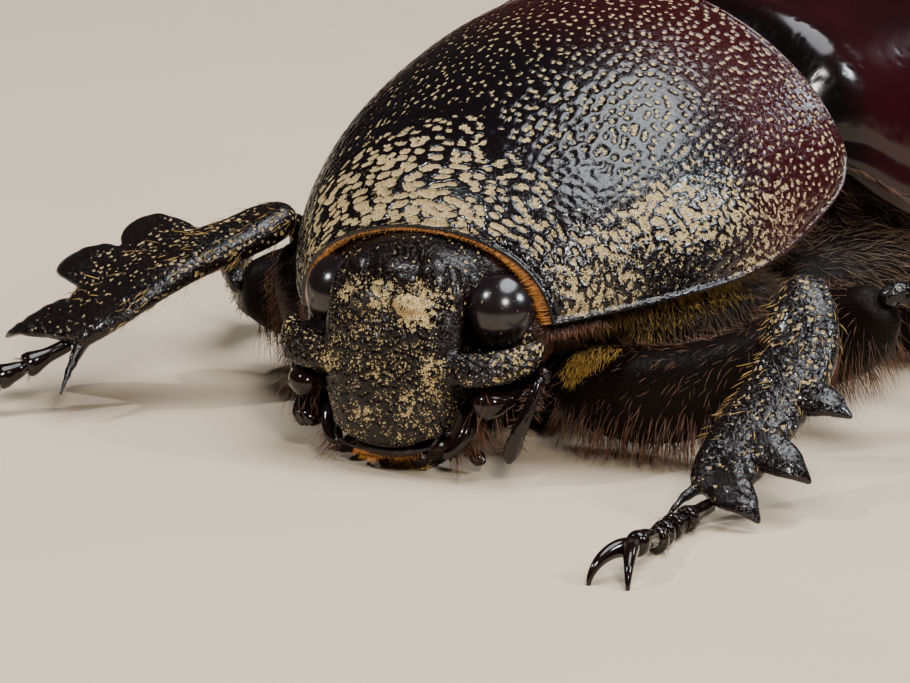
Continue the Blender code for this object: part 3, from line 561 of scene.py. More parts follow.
def wrapped(bm, columns, rows, shape):
    """Closed skin: a grid rolled up by shape(along, around) and merged at its seam and ends."""
    verts, around, back = grid_of(bm, columns, rows)
    put_at(verts, shape(back, around))
    bmesh.ops.remove_doubles(bm, verts=verts, dist=1e-4)


def ring(around, power):
    """Places across and up on a ring, which is squarer with more power."""
    turn = around * 2 * math.pi
    return [np.sign(k) * np.abs(k) ** (2 / power) for k in (np.cos(turn), np.sin(turn))]


def rounded(near):
    """Share of the full width near a rounded end."""
    return np.sqrt(np.maximum(1 - np.clip(1 - near, 0, 1) ** 2, 0))


def through(stations, flat, power=2.0, ends=(0.5, 0.5)):
    """Shape through stations (x, y, z, half width, half thickness), rounded off at its ends."""
    rows, flat = np.array(stations, float), np.array(flat, float)
    run = np.concatenate(((0,), np.cumsum(np.linalg.norm(np.diff(rows[:, :3], axis=0), axis=1))))

    def at(d):
        return np.stack([curve(joined(run, column), d) for column in rows.T], 1)

    def shape(back, around):
        d = back * run[-1]
        spot, way = at(d), unit((at(d + 0.02) - at(d - 0.02))[:, :3])
        side = unit(flat - way * (way @ flat)[:, None])
        c, s = ring(around, power)
        cap = rounded(np.minimum(d / ends[0], (run[-1] - d) / ends[1]))
        return spot[:, :3] + (side * (c * spot[:, 3])[:, None]
                              + np.cross(way, side) * (s * spot[:, 4])[:, None]) * cap[:, None]

    return shape


def tube(bm, columns, rows, *station_args):
    wrapped(bm, columns, rows, through(*station_args))


def lump(bm, centre, radii, turn=0.0, parts=4):
    """Rounded mass."""
    made = bmesh.ops.create_icosphere(bm, subdivisions=parts, radius=1)["verts"]
    bmesh.ops.scale(bm, vec=radii, verts=made)
    bmesh.ops.rotate(bm, verts=made, cent=(0, 0, 0), matrix=Matrix.Rotation(turn, 3, "Z"))
    bmesh.ops.translate(bm, vec=centre, verts=made)


def mirrored(shape):
    """A point, or any nest of points, on the other side of the body."""
    if np.ndim(shape[0]) == 0:
        return (-shape[0], *shape[1:])
    return [mirrored(part) for part in shape]


def on_side(side, shape):
    return shape if side > 0 else mirrored(shape)


def grown(bm, name, voxel, rounds=3):
    """Grow overlapping masses into one skin."""
    scratch = bpy.data.objects.new("scratch", to_mesh(bm, name + "_scratch"))
    bpy.context.scene.collection.objects.link(scratch)
    remesh = scratch.modifiers.new("skin", "REMESH")
    remesh.mode, remesh.voxel_size = "VOXEL", voxel
    solid = bpy.data.meshes.new_from_object(
        scratch.evaluated_get(bpy.context.evaluated_depsgraph_get()))
    bpy.data.meshes.remove(scratch.data)
    bm = bmesh.new()
    bm.from_mesh(solid)
    bpy.data.meshes.remove(solid)
    for _ in range(rounds):
        bmesh.ops.smooth_vert(bm, verts=bm.verts, factor=0.5, use_axis_x=True, use_axis_y=True,
                              use_axis_z=True)
    return to_mesh(bm, name)


def head_core(back, around):
    level = 0.92 + (CROWN - 0.92) * back
    half, front, rear, power = [curve([(r[0], r[i]) for r in HEAD_LEVELS], level)
                                for i in (1, 2, 3, 4)]
    c, s = ring(around, power)
    cap = rounded(np.minimum(back / 0.012, (1 - back) / 0.10))
    drop = 0.45 * (c * c) * ease(0.16, 0.0, back)
    return joined(half * c * cap, (front + rear) / 2 + (rear - front) / 2 * s * cap, level + drop)


HEAD_SHELL = cuticle("head_shell", (0.0015, 0.0012, 0.0015), (0.020, 0.005, 0.003), 0.09, 0.27,
                     (0.60, 0.44, 0.20), 0.8)


def head_piece():
    bm = bmesh.new()
    wrapped(bm, 96, 96, head_core)
    for side in (1, -1):
        tube(bm, 32, 60, on_side(side, EYE_BAR), (0, 0.42, 1), 2.6, (0.4, 0.6))
        tube(bm, 32, 40, on_side(side, BAR_WEB), (0, 1, 0.3), 2.4, (0.3, 0.4))
        # smooth cheek behind the eye, and the broad fold between the face and the eye
        lump(bm, (3.40 * side, 2.10, 4.62), (1.46, 1.10, 1.30))
        lump(bm, (1.9 * side, 2.1, 5.3), (1.5, 1.0, 1.9))
        lump(bm, (1.30 * side, 0.45, 5.35), (1.0, 0.85, 2.0))
        tube(bm, 24, 60, on_side(side, FACE_FOLD), (0.8, -0.5, 0), 2.0, (0.5, 0.3))
        lump(bm, (0.80 * side, -0.62, 5.85), (0.55, 0.34, 0.40))
    lump(bm, (0, 2.0, 6.15), (3.75, 1.45, 1.75), parts=5)
    lump(bm, (0, 1.45, 6.12), (2.90, 1.78, 1.72), parts=5)
    brim = [*mirrored(BRIM)[::-1], (0, -1.16, 0.94, 0.08, 0.07), *BRIM]
    tube(bm, 16, 90, brim, (0, -0.5, -1), 2.0, (0.15, 0.15))
    mesh, p, n = surface(grown(bm, "head_capsule", 0.052, 4))
    x, y, z = p.T
    side = np.abs(x)
    crown = ease(6.45, 6.85, z + 0.42 * side * ease(1.0, 2.6, side) + 0.20 * drift(p, 0.8, 51))
    ridge = ease(2.10, 2.26, side) * ease(1.1, 0.6, y) * ease(3.9, 4.4, z)
    bar = ease(2.60, 2.85, side) * ease(2.9, 3.1, z) * ease(5.3, 5.1, z) * ease(1.6, 1.3, y)
    cheek = ease(1.35, 1.6, y) * ease(2.4, 2.9, side)
    face = (1 - crown) * (1 - ridge) * (1 - bar) * ease(1.6, 1.0, y)
    wild = wander(p, 0.5, (52, 53, 54), 0.10)
    coarse = ease(0.62, 0.22, pores(p * (0.75, 1, 1) + wild, 0.19, 55)[0])
    wrinkle = ease(0.62, 0.30, pores(p * (0.6, 1, 1) + 1.5 * wild, 0.30, 56)[0])
    near, own = pores(p, 0.27, 57)
    prick = ease(0.38, 0.16, near + 0.14 * own)
    knob = ease(0.5, 0.15, pores(p, 0.23, 58)[0])
    pit = face * np.maximum(coarse, 0.8 * wrinkle) + (crown + ridge * 0.9) * prick \
        + bar * coarse * 0.9
    pit = np.clip(pit, 0, 1) * (1 - 0.9 * cheek) * (1 - 0.35 * face)
    rise = face * (-0.040 * coarse - 0.030 * wrinkle + 0.05 * rubble(p, 0.9, 59))
    rise += bar * (-0.05 * coarse + 0.035 * knob) - 0.03 * prick * (crown + ridge)
    hem = z - 0.45 * (x / 2.2) ** 2
    margin = ease(1.18, 0.98, hem) * ease(0.4, -0.2, y)
    rise -= 0.04 * ease(1.05, 1.25, hem) * ease(1.8, 1.4, hem) * face
    rise *= 1 - 0.85 * margin
    p += n * rise[:, None]
    soil = 0.27 + 0.30 * rubble(p, 1.5, 61) + 0.14 * rubble(p, 0.4, 62)
    ragged = 0.5 * rubble(p, 0.5, 63)
    for cx, cz, wide, amount in FACE_SOIL:
        far = np.hypot(x - cx, z - cz) / wide + ragged
        soil += 0.6 * amount * ease(1.3, 0.3, far) * ease(1.0, 0.4, y)
    # Extra soil on face, crown and ridge, with the head shell's strong lace, fills pits and pricks with
    # pale flecks: partly real soil, partly painted glints.
    soil += 0.15 * face + 0.16 * crown + 0.12 * ridge - 0.8 * cheek - 0.35 * margin
    soil += bar * (0.14 * ease(3.6, 4.6, side) - 0.06)
    set_down(mesh, p, HEAD_SHELL, ["head"], HEAD_ROLL, pit=pit, soil=soil,
             warm=np.clip(0.12 + 0.9 * cheek + 0.1 * margin, 0, 1))


head_piece()

# --- Mouth --------------------------------------------------------------------------------------
# Under the edge of the face sit the horny upper lip, the black blunt jaws, the amber lower mouth
# on which the head rests, and two short jointed palps.
MOUTH_SHELL = cuticle("mouth_shell", (0.006, 0.003, 0.002), (0.020, 0.006, 0.003), 0.25, 0.2,
                      grain=0.2, dust=-0.3, coat=0.05)
HORN_SHELL = cuticle("horn_shell", (0.002, 0.0015, 0.002), (0.012, 0.003, 0.002), 0.12, 0.3,
                     grain=0.05, dust=-0.15, coat=0.1, coat_rough=0.05)


def mouth_limb(name, stations, flat, node, power=2.0):
    bm = bmesh.new()
    tube(bm, 32, 48, stations, flat, power, (0.3, 0.3))
    bmesh.ops.recalc_face_normals(bm, faces=bm.faces)
    mesh, p, n = surface(to_mesh(bm, name))
    near, own = pores(p, 0.26, 71)
    pit = ease(0.34, 0.14, near + 0.1 * own)
    rise = -0.02 * pit + 0.012 * rubble(p, 0.5, 73)
    set_down(mesh, p + n * rise[:, None], HORN_SHELL, [node], HEAD_ROLL, pit=pit,
             soil=0.22 + 0.25 * rubble(p, 0.8, 72), warm=0.35)


JAW = ((2.35, 0.95, 2.35, 0.45, 0.3), (2.72, 0.55, 1.95, 0.46, 0.28), (2.7, 0.05, 1.45, 0.42, 0.26),
       (2.45, -0.25, 1.02, 0.34, 0.22), (2.05, -0.4, 0.8, 0.2, 0.16))
PALP = ((1.75, 1.1, 0.74, 0.15, 0.15), (2.0, 1.05, 0.68, 0.22, 0.2), (2.2, 1.0, 0.62, 0.16, 0.16),
        (2.45, 0.95, 0.56, 0.25, 0.23), (2.7, 0.9, 0.48, 0.24, 0.22), (2.92, 0.85, 0.42, 0.12, 0.12))
LIP = ((0.7, -0.68, 0.82, 0.14, 0.11), (1.30, -0.46, 0.90, 0.12, 0.10))
MOUTH_FLOOR = ((0, 0.55, 0.05, 0.8, 0.25), (0, 0.8, 0.35, 1.2, 0.55), (0, 1.35, 0.95, 1.4, 0.75),
               (0, 1.9, 2.0, 1.6, 0.8), (0, 2.1, 3.0, 1.5, 0.7))
for side, name in SIDES:
    mouth_limb("jaw_" + name, on_side(side, JAW), (0, 1, 0.2), "mandible_" + name, 2.4)
    mouth_limb("feeler_" + name, on_side(side, PALP), (0, 0, 1), "palp_" + name)


def lip_and_floor():
    bm = bmesh.new()
    lip = [*mirrored(LIP)[::-1], (0, -0.74, 0.79, 0.15, 0.12), *LIP]
    tube(bm, 48, 60, lip, (0, 0.5, 1), 2.4, (0.3, 0.3))
    mesh, p, _ = surface(to_mesh(bm, "upper_lip"))
    set_down(mesh, p, MOUTH_SHELL, ["labrum"], HEAD_ROLL, pit=0.2, soil=0.2, warm=0.8)
    bm = bmesh.new()
    tube(bm, 48, 60, MOUTH_FLOOR, (1, 0, 0), 2.4, (0.25, 0.5))
    for side in (1, -1):
        lump(bm, (0.75 * side, 0.35, 0.42), (0.42, 0.4, 0.40), parts=3)
        lump(bm, (1.25 * side, 0.65, 0.85), (0.5, 0.5, 0.45), parts=3)
    mesh, p, n = surface(grown(bm, "lower_mouth", 0.07, 3))
    pit = ease(0.4, 0.15, pores(p, 0.22, 75)[0])
    set_down(mesh, p - n * (0.02 * pit)[:, None], MOUTH_SHELL, ["mouthparts"], HEAD_ROLL, pit=pit,
             soil=0.2, warm=0.55)


lip_and_floor()

# --- Antennae -----------------------------------------------------------------------------------
# Each antenna is a polished swollen first joint under the eye, a bent string of small beads, and
# a club of three flat leaves, shut like a book. The right club is tucked against the head.
SCAPE = ((2.95, 0.35, 2.75, 0.22, 0.22), (3.25, 0.1, 2.68, 0.3, 0.3), (3.6, -0.05, 2.66, 0.5, 0.5),
         (3.9, 0.02, 2.7, 0.46, 0.46), (4.2, 0.25, 2.78, 0.3, 0.3), (4.42, 0.52, 2.86, 0.2, 0.2))
BEADS = ((4.55, 0.72, 2.92, 0.24), (4.75, 1.0, 3.04, 0.23), (4.93, 1.22, 3.2, 0.22),
         (5.07, 1.3, 3.42, 0.22), (5.16, 1.18, 3.62, 0.22), (5.22, 0.98, 3.7, 0.21))
CLUB = ((5.25, 0.8, 3.62, 0.14, 0.12), (5.2, 0.58, 3.2, 0.18, 0.14), (5.02, 0.28, 2.5, 0.22, 0.16),
        (4.72, 0.12, 1.72, 0.26, 0.17), (4.46, 0.14, 1.08, 0.27, 0.16), (4.34, 0.2, 0.74, 0.18, 0.12))
TUCKED = ((-3.98, 1.05, 2.22, 0.25, 0.2), (-3.92, 0.8, 2.0, 0.42, 0.2), (-3.84, 0.48, 1.7, 0.5, 0.2),
          (-3.76, 0.15, 1.38, 0.44, 0.2), (-3.7, -0.05, 1.13, 0.22, 0.16))
LEAF_SPACING = 0.25


def antenna_piece(side, name, club, club_flat, opening):
    bm = bmesh.new()
    tube(bm, 40, 60, on_side(side, SCAPE), (0, 0, 1), 2.0, (0.15, 0.15))
    last = None
    for *spot, r in on_side(side, BEADS):
        lump(bm, spot, (r, r, r * 0.86), parts=3)
        if last:
            path = [(*last, 0.12, 0.12), (*spot, 0.12, 0.12)]
            tube(bm, 12, 6, path, (0, 0.3, 1), 2.0, (0.05, 0.05))
        last = spot
    mesh, p, _ = surface(to_mesh(bm, "stalk_" + name))
    set_down(mesh, p, HORN_SHELL, ["antenna_" + name], HEAD_ROLL, pit=0.0,
             soil=0.15 + 0.2 * rubble(p, 0.5, 81), warm=0.5)
    bm = bmesh.new()
    for k in (-1, 0, 1):
        leaf = np.array(club) * (1, 1, 1, 1 - 0.12 * abs(k), 1)
        leaf[:, :3] += np.multiply(opening, LEAF_SPACING * k)
        tube(bm, 36, 60, leaf, club_flat, 2.2, (0.2, 0.35))
    mesh, p, n = surface(to_mesh(bm, "leaves_" + name))
    pit = ease(0.45, 0.15, pores(p, 0.17, 82)[0])
    set_down(mesh, p - n * (0.014 * pit)[:, None], HORN_SHELL, ["club_" + name], HEAD_ROLL,
             pit=pit, soil=0.0, warm=0.25)


antenna_piece(1, "left", CLUB, (0.9, 0.45, 0.2), (-0.35, 0.93, 0.1))
antenna_piece(-1, "right", TUCKED, (0.25, 0.9, 0.35), (0.95, -0.2, 0.1))

# --- Legs ---------------------------------------------------------------------------------------
# Six digging legs. The thigh is a broad oval, the shin a flat blade with three hooked teeth and a
# spur at its end, and the foot five small joints with two curved claws that rest on the floor.
FORE_LEFT = {
    "femur": ((3.2, 5.1, 2.5, 0.9, 0.7), (4.4, 5.0, 2.45, 1.45, 1.0), (6.6, 5.0, 2.47, 1.75, 1.15),
        (8.8, 5.3, 2.95, 1.65, 1.1), (10.8, 5.9, 4.1, 1.35, 1.0), (12.0, 6.5, 5.3, 0.95, 0.8),
        (12.3, 6.8, 5.95, 0.55, 0.5)),
    "femur_flat": (0, -0.35, 1),
    "tibia": ((12.3, 6.2, 6.95, 0.5, 0.42), (12.5, 5.5, 6.4, 0.95, 0.62), (13.0, 4.4, 4.9, 1.28, 0.66),
        (12.95, 2.9, 3.5, 1.25, 0.58), (12.7, 1.5, 2.45, 1.22, 0.5), (12.55, 0.3, 1.55, 1.05, 0.44),
        (12.4, -0.45, 1.0, 0.7, 0.4)),
    "tibia_flat": (1, 0.12, -0.25),
    "teeth": (((12.9, 3.6, 3.9), (14.0, 3.25, 3.75), (14.9, 3.22, 3.6), (15.6, 3.45, 3.2)),
              ((12.7, 1.7, 2.6), (13.8, 1.3, 2.25), (14.7, 1.25, 1.9), (15.2, 1.55, 1.35)),
              ((12.4, 0.5, 1.7), (13.2, -0.25, 1.3), (14.0, -0.55, 0.95), (14.5, -0.45, 0.35))),
    "tooth": 0.95,
    "spur": ((12.0, -0.1, 1.2), (11.85, -0.8, 0.95), (11.75, -1.35, 0.65), (11.62, -1.85, 0.25)),
    "tarsus": ((12.6, -1.1, 0.65), (12.6, -2.05, 0.55), (12.6, -2.9, 0.5), (12.85, -3.8, 0.5),
        (13.2, -4.7, 0.55), (13.7, -6.7, 0.9)),
    "claws": ((0.55, -0.9), (-0.35, -1.0)),
}
FORE_RIGHT = {
    "femur": ((-3.2, 5.1, 2.4, 0.9, 0.7), (-4.2, 5.2, 2.25, 1.35, 1.0), (-5.6, 5.6, 2.25, 1.5, 1.1),
        (-7.2, 6.3, 2.4, 1.45, 1.1), (-8.8, 7.3, 3.2, 1.25, 0.95), (-9.6, 8.0, 4.4, 0.9, 0.8),
        (-9.75, 8.2, 5.2, 0.5, 0.5)),
    "femur_flat": (0, -0.35, 1),
    "tibia": ((-9.3, 7.4, 6.45, 0.5, 0.42), (-9.7, 6.8, 6.2, 0.95, 0.58), (-10.5, 5.4, 5.65, 1.2, 0.62),
        (-11.6, 4.0, 5.1, 1.5, 0.6), (-12.8, 2.6, 4.3, 1.95, 0.54), (-13.7, 1.4, 3.35, 1.9, 0.48),
        (-14.3, 0.5, 2.5, 1.25, 0.4)),
    "tibia_flat": (0.75, -0.6, -0.15),
    "teeth": (((-11.6, 3.9, 5.0), (-12.9, 4.5, 5.4), (-14.0, 4.9, 5.6), (-14.9, 5.1, 5.7)),
              ((-12.8, 2.6, 4.2), (-14.2, 3.1, 4.5), (-15.5, 3.3, 4.6), (-16.6, 3.3, 4.4)),
              ((-13.6, 1.3, 3.2), (-15.0, 1.5, 3.05), (-16.3, 1.4, 2.7), (-17.3, 1.2, 2.1))),
    "tooth": 1.35,
    "blunt": 0.5,
    "spur": ((-13.4, 0.5, 2.6), (-13.15, -0.3, 2.2), (-12.95, -1.0, 1.75), (-12.75, -1.7, 1.15)),
    "tarsus": ((-14.45, -0.0, 2.1), (-15.0, -0.8, 1.7), (-15.6, -1.6, 1.35), (-16.25, -2.4, 1.05),
        (-16.95, -3.25, 0.8), (-18.5, -5.0, 0.95)),
    "claws": ((-1.0, -0.45), (-0.3, -1.0)),
}
MID_LEFT = {
    "femur": ((3.75, 15.25, 2.0, 0.8, 0.7), (5.0, 14.5, 2.3, 1.35, 0.9), (7.4, 13.2, 2.9, 1.7, 1.0),
        (9.6, 12.0, 3.5, 1.65, 1.0), (11.4, 11.2, 4.4, 1.4, 0.9), (12.4, 10.9, 5.3, 0.8, 0.6)),
    "femur_flat": (0.2, -0.3, 1),
    "tibia": ((12.9, 11.2, 5.8, 0.45, 0.4), (13.6, 11.8, 5.3, 0.6, 0.5), (14.8, 13.0, 4.2, 0.75, 0.6),
        (16.0, 14.3, 3.0, 0.85, 0.65), (16.9, 15.5, 1.9, 1.05, 0.8), (17.3, 16.1, 1.45, 0.8, 0.6)),
    "tibia_flat": (0.5, -0.4, 0.6),
    "teeth": (((15.1, 13.6, 3.4), (15.8, 13.5, 3.9), (16.6, 13.6, 4.15)),
              ((16.9, 15.6, 1.9), (18.0, 15.8, 1.95), (18.8, 16.2, 1.6)),
              ((16.8, 15.7, 1.9), (17.1, 16.7, 2.1), (17.6, 17.6, 1.8))),
    "tooth": 0.46,
    "spur": ((17.0, 15.8, 1.5), (17.1, 16.8, 1.1), (17.4, 18.1, 0.6)),
    "tarsus": ((17.6, 16.6, 1.2), (18.1, 17.7, 0.85), (18.5, 18.7, 0.7), (18.9, 19.7, 0.62),
        (19.3, 20.7, 0.6), (19.9, 22.6, 0.95)),
    "claws": ((0.75, 0.75), (-0.25, 1.0)),
}
MID_RIGHT = {
    "femur": ((-3.75, 15.25, 2.0, 0.8, 0.7), (-5.0, 14.2, 2.2, 1.3, 0.9), (-7.2, 12.6, 2.5, 1.6, 1.0),
        (-9.6, 10.8, 2.8, 1.6, 1.0), (-11.6, 9.3, 3.0, 1.5, 0.9), (-12.6, 8.6, 3.1, 0.8, 0.6)),
    "femur_flat": (-0.1, -0.2, 1),
    "tibia": ((-13.25, 9.0, 3.65, 0.45, 0.4), (-13.7, 9.8, 3.4, 0.6, 0.5), (-14.4, 11.2, 2.9, 0.75, 0.6),
        (-15.2, 12.7, 2.1, 0.8, 0.65), (-15.8, 14.0, 1.5, 0.95, 0.75), (-16.0, 14.7, 1.3, 0.75, 0.6)),
    "tibia_flat": (-0.3, -0.2, 0.8),
    "teeth": (((-14.7, 11.7, 2.6), (-15.5, 11.7, 3.0), (-16.2, 12.0, 3.1)),
              ((-15.6, 14.1, 1.6), (-16.7, 14.6, 1.7), (-17.4, 15.1, 1.5)),
              ((-15.7, 14.3, 1.7), (-15.8, 15.3, 2.1), (-16.1, 16.1, 1.9))),
    "tooth": 0.46,
    "spur": ((-15.6, 14.4, 1.3), (-15.4, 15.5, 0.95), (-15.4, 16.7, 0.6)),
    "tarsus": ((-16.1, 15.3, 1.1), (-16.3, 16.4, 0.8), (-16.4, 17.4, 0.68), (-16.5, 18.4, 0.62),
        (-16.6, 19.4, 0.6), (-16.6, 21.4, 0.95)),
    "claws": ((-0.5, 0.9), (0.5, 0.9)),
}
HIND_LEFT = {
    "femur": ((4.4, 21.7, 1.95, 0.85, 0.7), (5.8, 22.2, 1.95, 1.35, 0.9), (8.2, 23.0, 2.3, 1.7, 1.0),
        (10.4, 23.8, 3.3, 1.7, 1.0), (12.0, 24.4, 4.4, 1.3, 0.9), (12.7, 24.65, 5.1, 0.7, 0.6)),
    "femur_flat": (0, -0.3, 1),
    "tibia": ((12.9, 25.1, 5.6, 0.45, 0.4), (13.3, 26.1, 5.1, 0.65, 0.55), (13.9, 27.7, 4.2, 0.85, 0.65),
        (14.5, 29.5, 3.2, 0.95, 0.75), (15.0, 31.2, 2.1, 1.25, 0.9), (15.2, 32.0, 1.6, 0.9, 0.65)),
    "tibia_flat": (0.8, -0.1, 0.5),
    "teeth": (((14.3, 28.7, 3.5), (15.2, 28.9, 4.1), (16.0, 29.3, 4.15)),
              ((15.1, 31.3, 2.2), (16.3, 31.8, 2.3), (17.1, 32.4, 2.0)),
              ((14.9, 31.5, 2.3), (15.1, 32.6, 2.6), (15.4, 33.6, 2.3))),
    "tooth": 0.46,
    "spur": ((14.8, 31.7, 1.6), (14.8, 32.9, 1.15), (15.0, 34.3, 0.65)),
    "tarsus": ((15.4, 32.6, 1.3), (15.8, 33.9, 0.9), (16.1, 35.1, 0.72), (16.4, 36.2, 0.62),
        (16.7, 37.3, 0.6), (17.1, 39.4, 0.95)),
    "claws": ((0.7, 0.8), (-0.35, 1.0)),
}
HIND_RIGHT = {key: mirrored(value) if key != "tooth" else value for key, value in HIND_LEFT.items()}
LEGS = {"fore_left": FORE_LEFT, "fore_right": FORE_RIGHT, "mid_left": MID_LEFT,
        "mid_right": MID_RIGHT, "hind_left": HIND_LEFT, "hind_right": HIND_RIGHT}
LEG_SHELL = cuticle("leg_shell", (0.0018, 0.0015, 0.002), (0.010, 0.003, 0.002), 0.12, 0.38,
                    (0.50, 0.36, 0.17), 0.5)
THIGH_SHELL = cuticle("thigh_shell", (0.0015, 0.001, 0.001), (0.006, 0.002, 0.001), 0.45, 0.08,
                      (0.26, 0.17, 0.07), 0.7, grain=0.12)


def femur_piece(name, leg):
    bm = bmesh.new()
    fine = name.startswith("fore")
    tube(bm, 84 if fine else 60, 130 if fine else 90, leg["femur"], leg["femur_flat"], 2.1,
         (0.5, 0.4))
    mesh, p, n = surface(to_mesh(bm, "thigh_" + name))
    near, own = pores(p, 0.34, 91)
    bare = ease(0.25, 0.7, np.abs(n @ np.array((0, -0.94, -0.33)))) if fine else 0.5
    pit = ease(0.30, 0.12, near + 0.1 * own) * (1 - 0.6 * bare)
    p += n * (-0.03 * pit + 0.02 * rubble(p, 1.2, 92))[:, None]
    set_down(mesh, p, THIGH_SHELL, ["femur_" + name], pit=pit,
             soil=0.18 + 0.28 * rubble(p, 1.0, 93), warm=0.45 + 0.3 * rubble(p, 2, 94))


def shin_way(leg):
    down = np.subtract(leg["tibia"][-1][:3], leg["tibia"][0][:3])
    return down / np.linalg.norm(down)


def knee_joint(bm, leg, down):
    knee, thigh = np.array(leg["tibia"][0][:3]), np.array(leg["femur"][-1][:3])
    tube(bm, 24, 24, [(*(thigh * 1.15 - knee * 0.15), 0.34, 0.34),
                      (*((knee + thigh) / 2), 0.40, 0.36), (*(knee + down * 0.7), 0.40, 0.34)],
         (0.3, 0.5, 0.7), 2.0, (0.2, 0.2))


def spine_crown(bm, end, down):
    """Short spines round the end of a middle or hind shin."""
    across = np.cross(down, (0.0, 0.0, 1.0))
    across /= np.linalg.norm(across)
    over = np.cross(down, across)
    for k in range(7):
        turn = across * math.cos(k * 0.9) + over * math.sin(k * 0.9)
        root = end - down * 0.15 + turn * 0.55
        tube(bm, 14, 20, [(*root, 0.17, 0.15), (*(root + down * 0.4 + turn * 0.16), 0.12, 0.11),
                          (*(root + down * 0.85 + turn * 0.24), 0.03, 0.03)],
             over + 0.3 * across, 2.0, (0.1, 0.04))


def shin_teeth(bm, leg, fore, down):
    r, blunt = leg["tooth"], leg.get("blunt", 0.0)
    for path in leg["teeth"]:
        path = np.array(path)
        if not fore:
            path[-1] += (path[-1] - path[0]) * 0.35
        rows = [(*spot, r * (1 - (0.62 * k + 0.32 * k**4) * (1 - blunt)),
                 0.62 * min(r, 0.7) * (1 - (0.85 - 0.3 * blunt) * k**1.5))
                for spot, k in zip(path, np.linspace(0, 1, len(path)))]
        tube(bm, 28, 36, rows, down, 2.0, (0.2, 0.06 + 1.3 * blunt))
    stout = 1 + 0.6 * blunt
    rows = [(*spot, 0.27 * stout * (1 - 0.85 * k), 0.21 * stout * (1 - 0.85 * k))
            for spot, k in zip(leg["spur"], np.linspace(0, 1, len(leg["spur"])))]
    tube(bm, 20, 36, rows, (0.3, 0.2, 1), 2.0, (0.1, 0.04))


def tibia_piece(name, leg):
    bm = bmesh.new()
    fore, down = name.startswith("fore"), shin_way(leg)
    tube(bm, 48, 90, leg["tibia"], leg["tibia_flat"], 2.3, (0.45, 0.35))
    knee_joint(bm, leg, down)
    if not fore:
        spine_crown(bm, np.array(leg["tibia"][-1][:3]), down)
    shin_teeth(bm, leg, fore, down)
    mesh, p, n = surface(grown(bm, "shin_" + name, 0.055 if fore else 0.07, 3))
    tips = [path[-1] for path in (*leg["teeth"], leg["spur"])]
    reach = np.min([np.linalg.norm(p - tip, axis=1) for tip in tips], axis=0)
    body = ease(0.9, 1.9, reach)
    near, own = pores(p + wander(p, 0.6, (95, 96, 97), 0.08), 0.24, 98)
    pit = ease(0.52, 0.22, near + 0.15 * own) * (0.15 + 0.85 * body)
    groove = np.sin(p @ down / 0.09 + 3 * rubble(p, 1.4, 90))
    groove *= ease(2.4, 1.1, reach) * ease(0.4, 1.0, reach)
    p += n * (-0.045 * pit + 0.03 * rubble(p, 0.8, 99) * body + 0.018 * groove)[:, None]
    upper = ease(3.2, 5.2, p[:, 2]) if fore else 0.0
    soil = 0.30 + 0.28 * rubble(p, 0.9, 100) - 0.5 * (1 - body) + 0.24 * upper
    set_down(mesh, p, LEG_SHELL, ["tibia_" + name], pit=pit, soil=soil,
             warm=0.25 + 0.2 * rubble(p, 1.5, 101))


# along and half width of a foot's joints; out, up and half width of a claw
FOOT_JOINT = ((-0.08, 0.18), (0.12, 0.28), (0.45, 0.36), (0.78, 0.44), (0.94, 0.39), (1.04, 0.20))
FIRST_JOINT = ((-0.75, 0.24), (-0.30, 0.26)) + FOOT_JOINT[1:]
LAST_JOINT = ((-0.05, 0.18), (0.12, 0.27), (0.4, 0.31), (0.7, 0.37), (0.9, 0.43), (1.02, 0.32))
JOINTS = ((FIRST_JOINT, 0.0),) + ((FOOT_JOINT, 0.0),) * 3 + ((LAST_JOINT, 0.16),)
HOOK = ((0.35, 0.1, 0.27), (0.95, 0.06, 0.23), (1.55, -0.22, 0.16), (1.88, -0.66, 0.09), (1.93, -1.0, 0.05))


def tarsus_piece(name, leg):
    spots = [np.array(s) for s in leg["tarsus"]]
    bm = bmesh.new()
    for a, b, (shape, rise) in zip(spots, spots[1:], JOINTS):
        rows = [(*(a + (b - a) * k + (0, 0, rise * math.sin(math.pi * min(max(k, 0), 1)))), r,
                 r * 0.92) for k, r in shape]
        tube(bm, 24, 36, rows, (0, 0, 1), 2.0, (0.1, 0.12))
    mesh, p, _ = surface(to_mesh(bm, "foot_" + name))
    set_down(mesh, p, HORN_SHELL, ["tarsus_" + name], pit=0.0,
             soil=0.12 + 0.2 * rubble(p, 0.6, 102), warm=0.3)


def claws_piece(name, leg):
    """Two hooks whose points stand on the floor."""
    bm = bmesh.new()
    before, tip = (Vector(s) for s in leg["tarsus"][-2:])
    way = ((tip - before) * Vector((1, 1, 0))).normalized()
    root = tip + way * 0.25
    for x, y in leg["claws"]:
        out = (Vector((x, y, 0)).normalized() + way * 0.25).normalized()
        rows = [(*(root - way * 0.15), 0.24, 0.24 * 1.15)]
        rows += [(*(root + out * far + Vector((0, 0, up))), r, r * 1.15) for far, up, r in HOOK]
        tube(bm, 20, 48, rows, (-out.y, out.x, 0), 2.0, (0.1, 0.05))
    lump(bm, root, (0.24, 0.24, 0.22), parts=3)
    mesh, p, _ = surface(to_mesh(bm, "hooks_" + name))
    set_down(mesh, p, HORN_SHELL, ["claws_" + name], pit=0.0, soil=0.0, warm=0.35)


for name, leg in LEGS.items():
    femur_piece(name, leg)
    tibia_piece(name, leg)
    tarsus_piece(name, leg)
    claws_piece(name, leg)

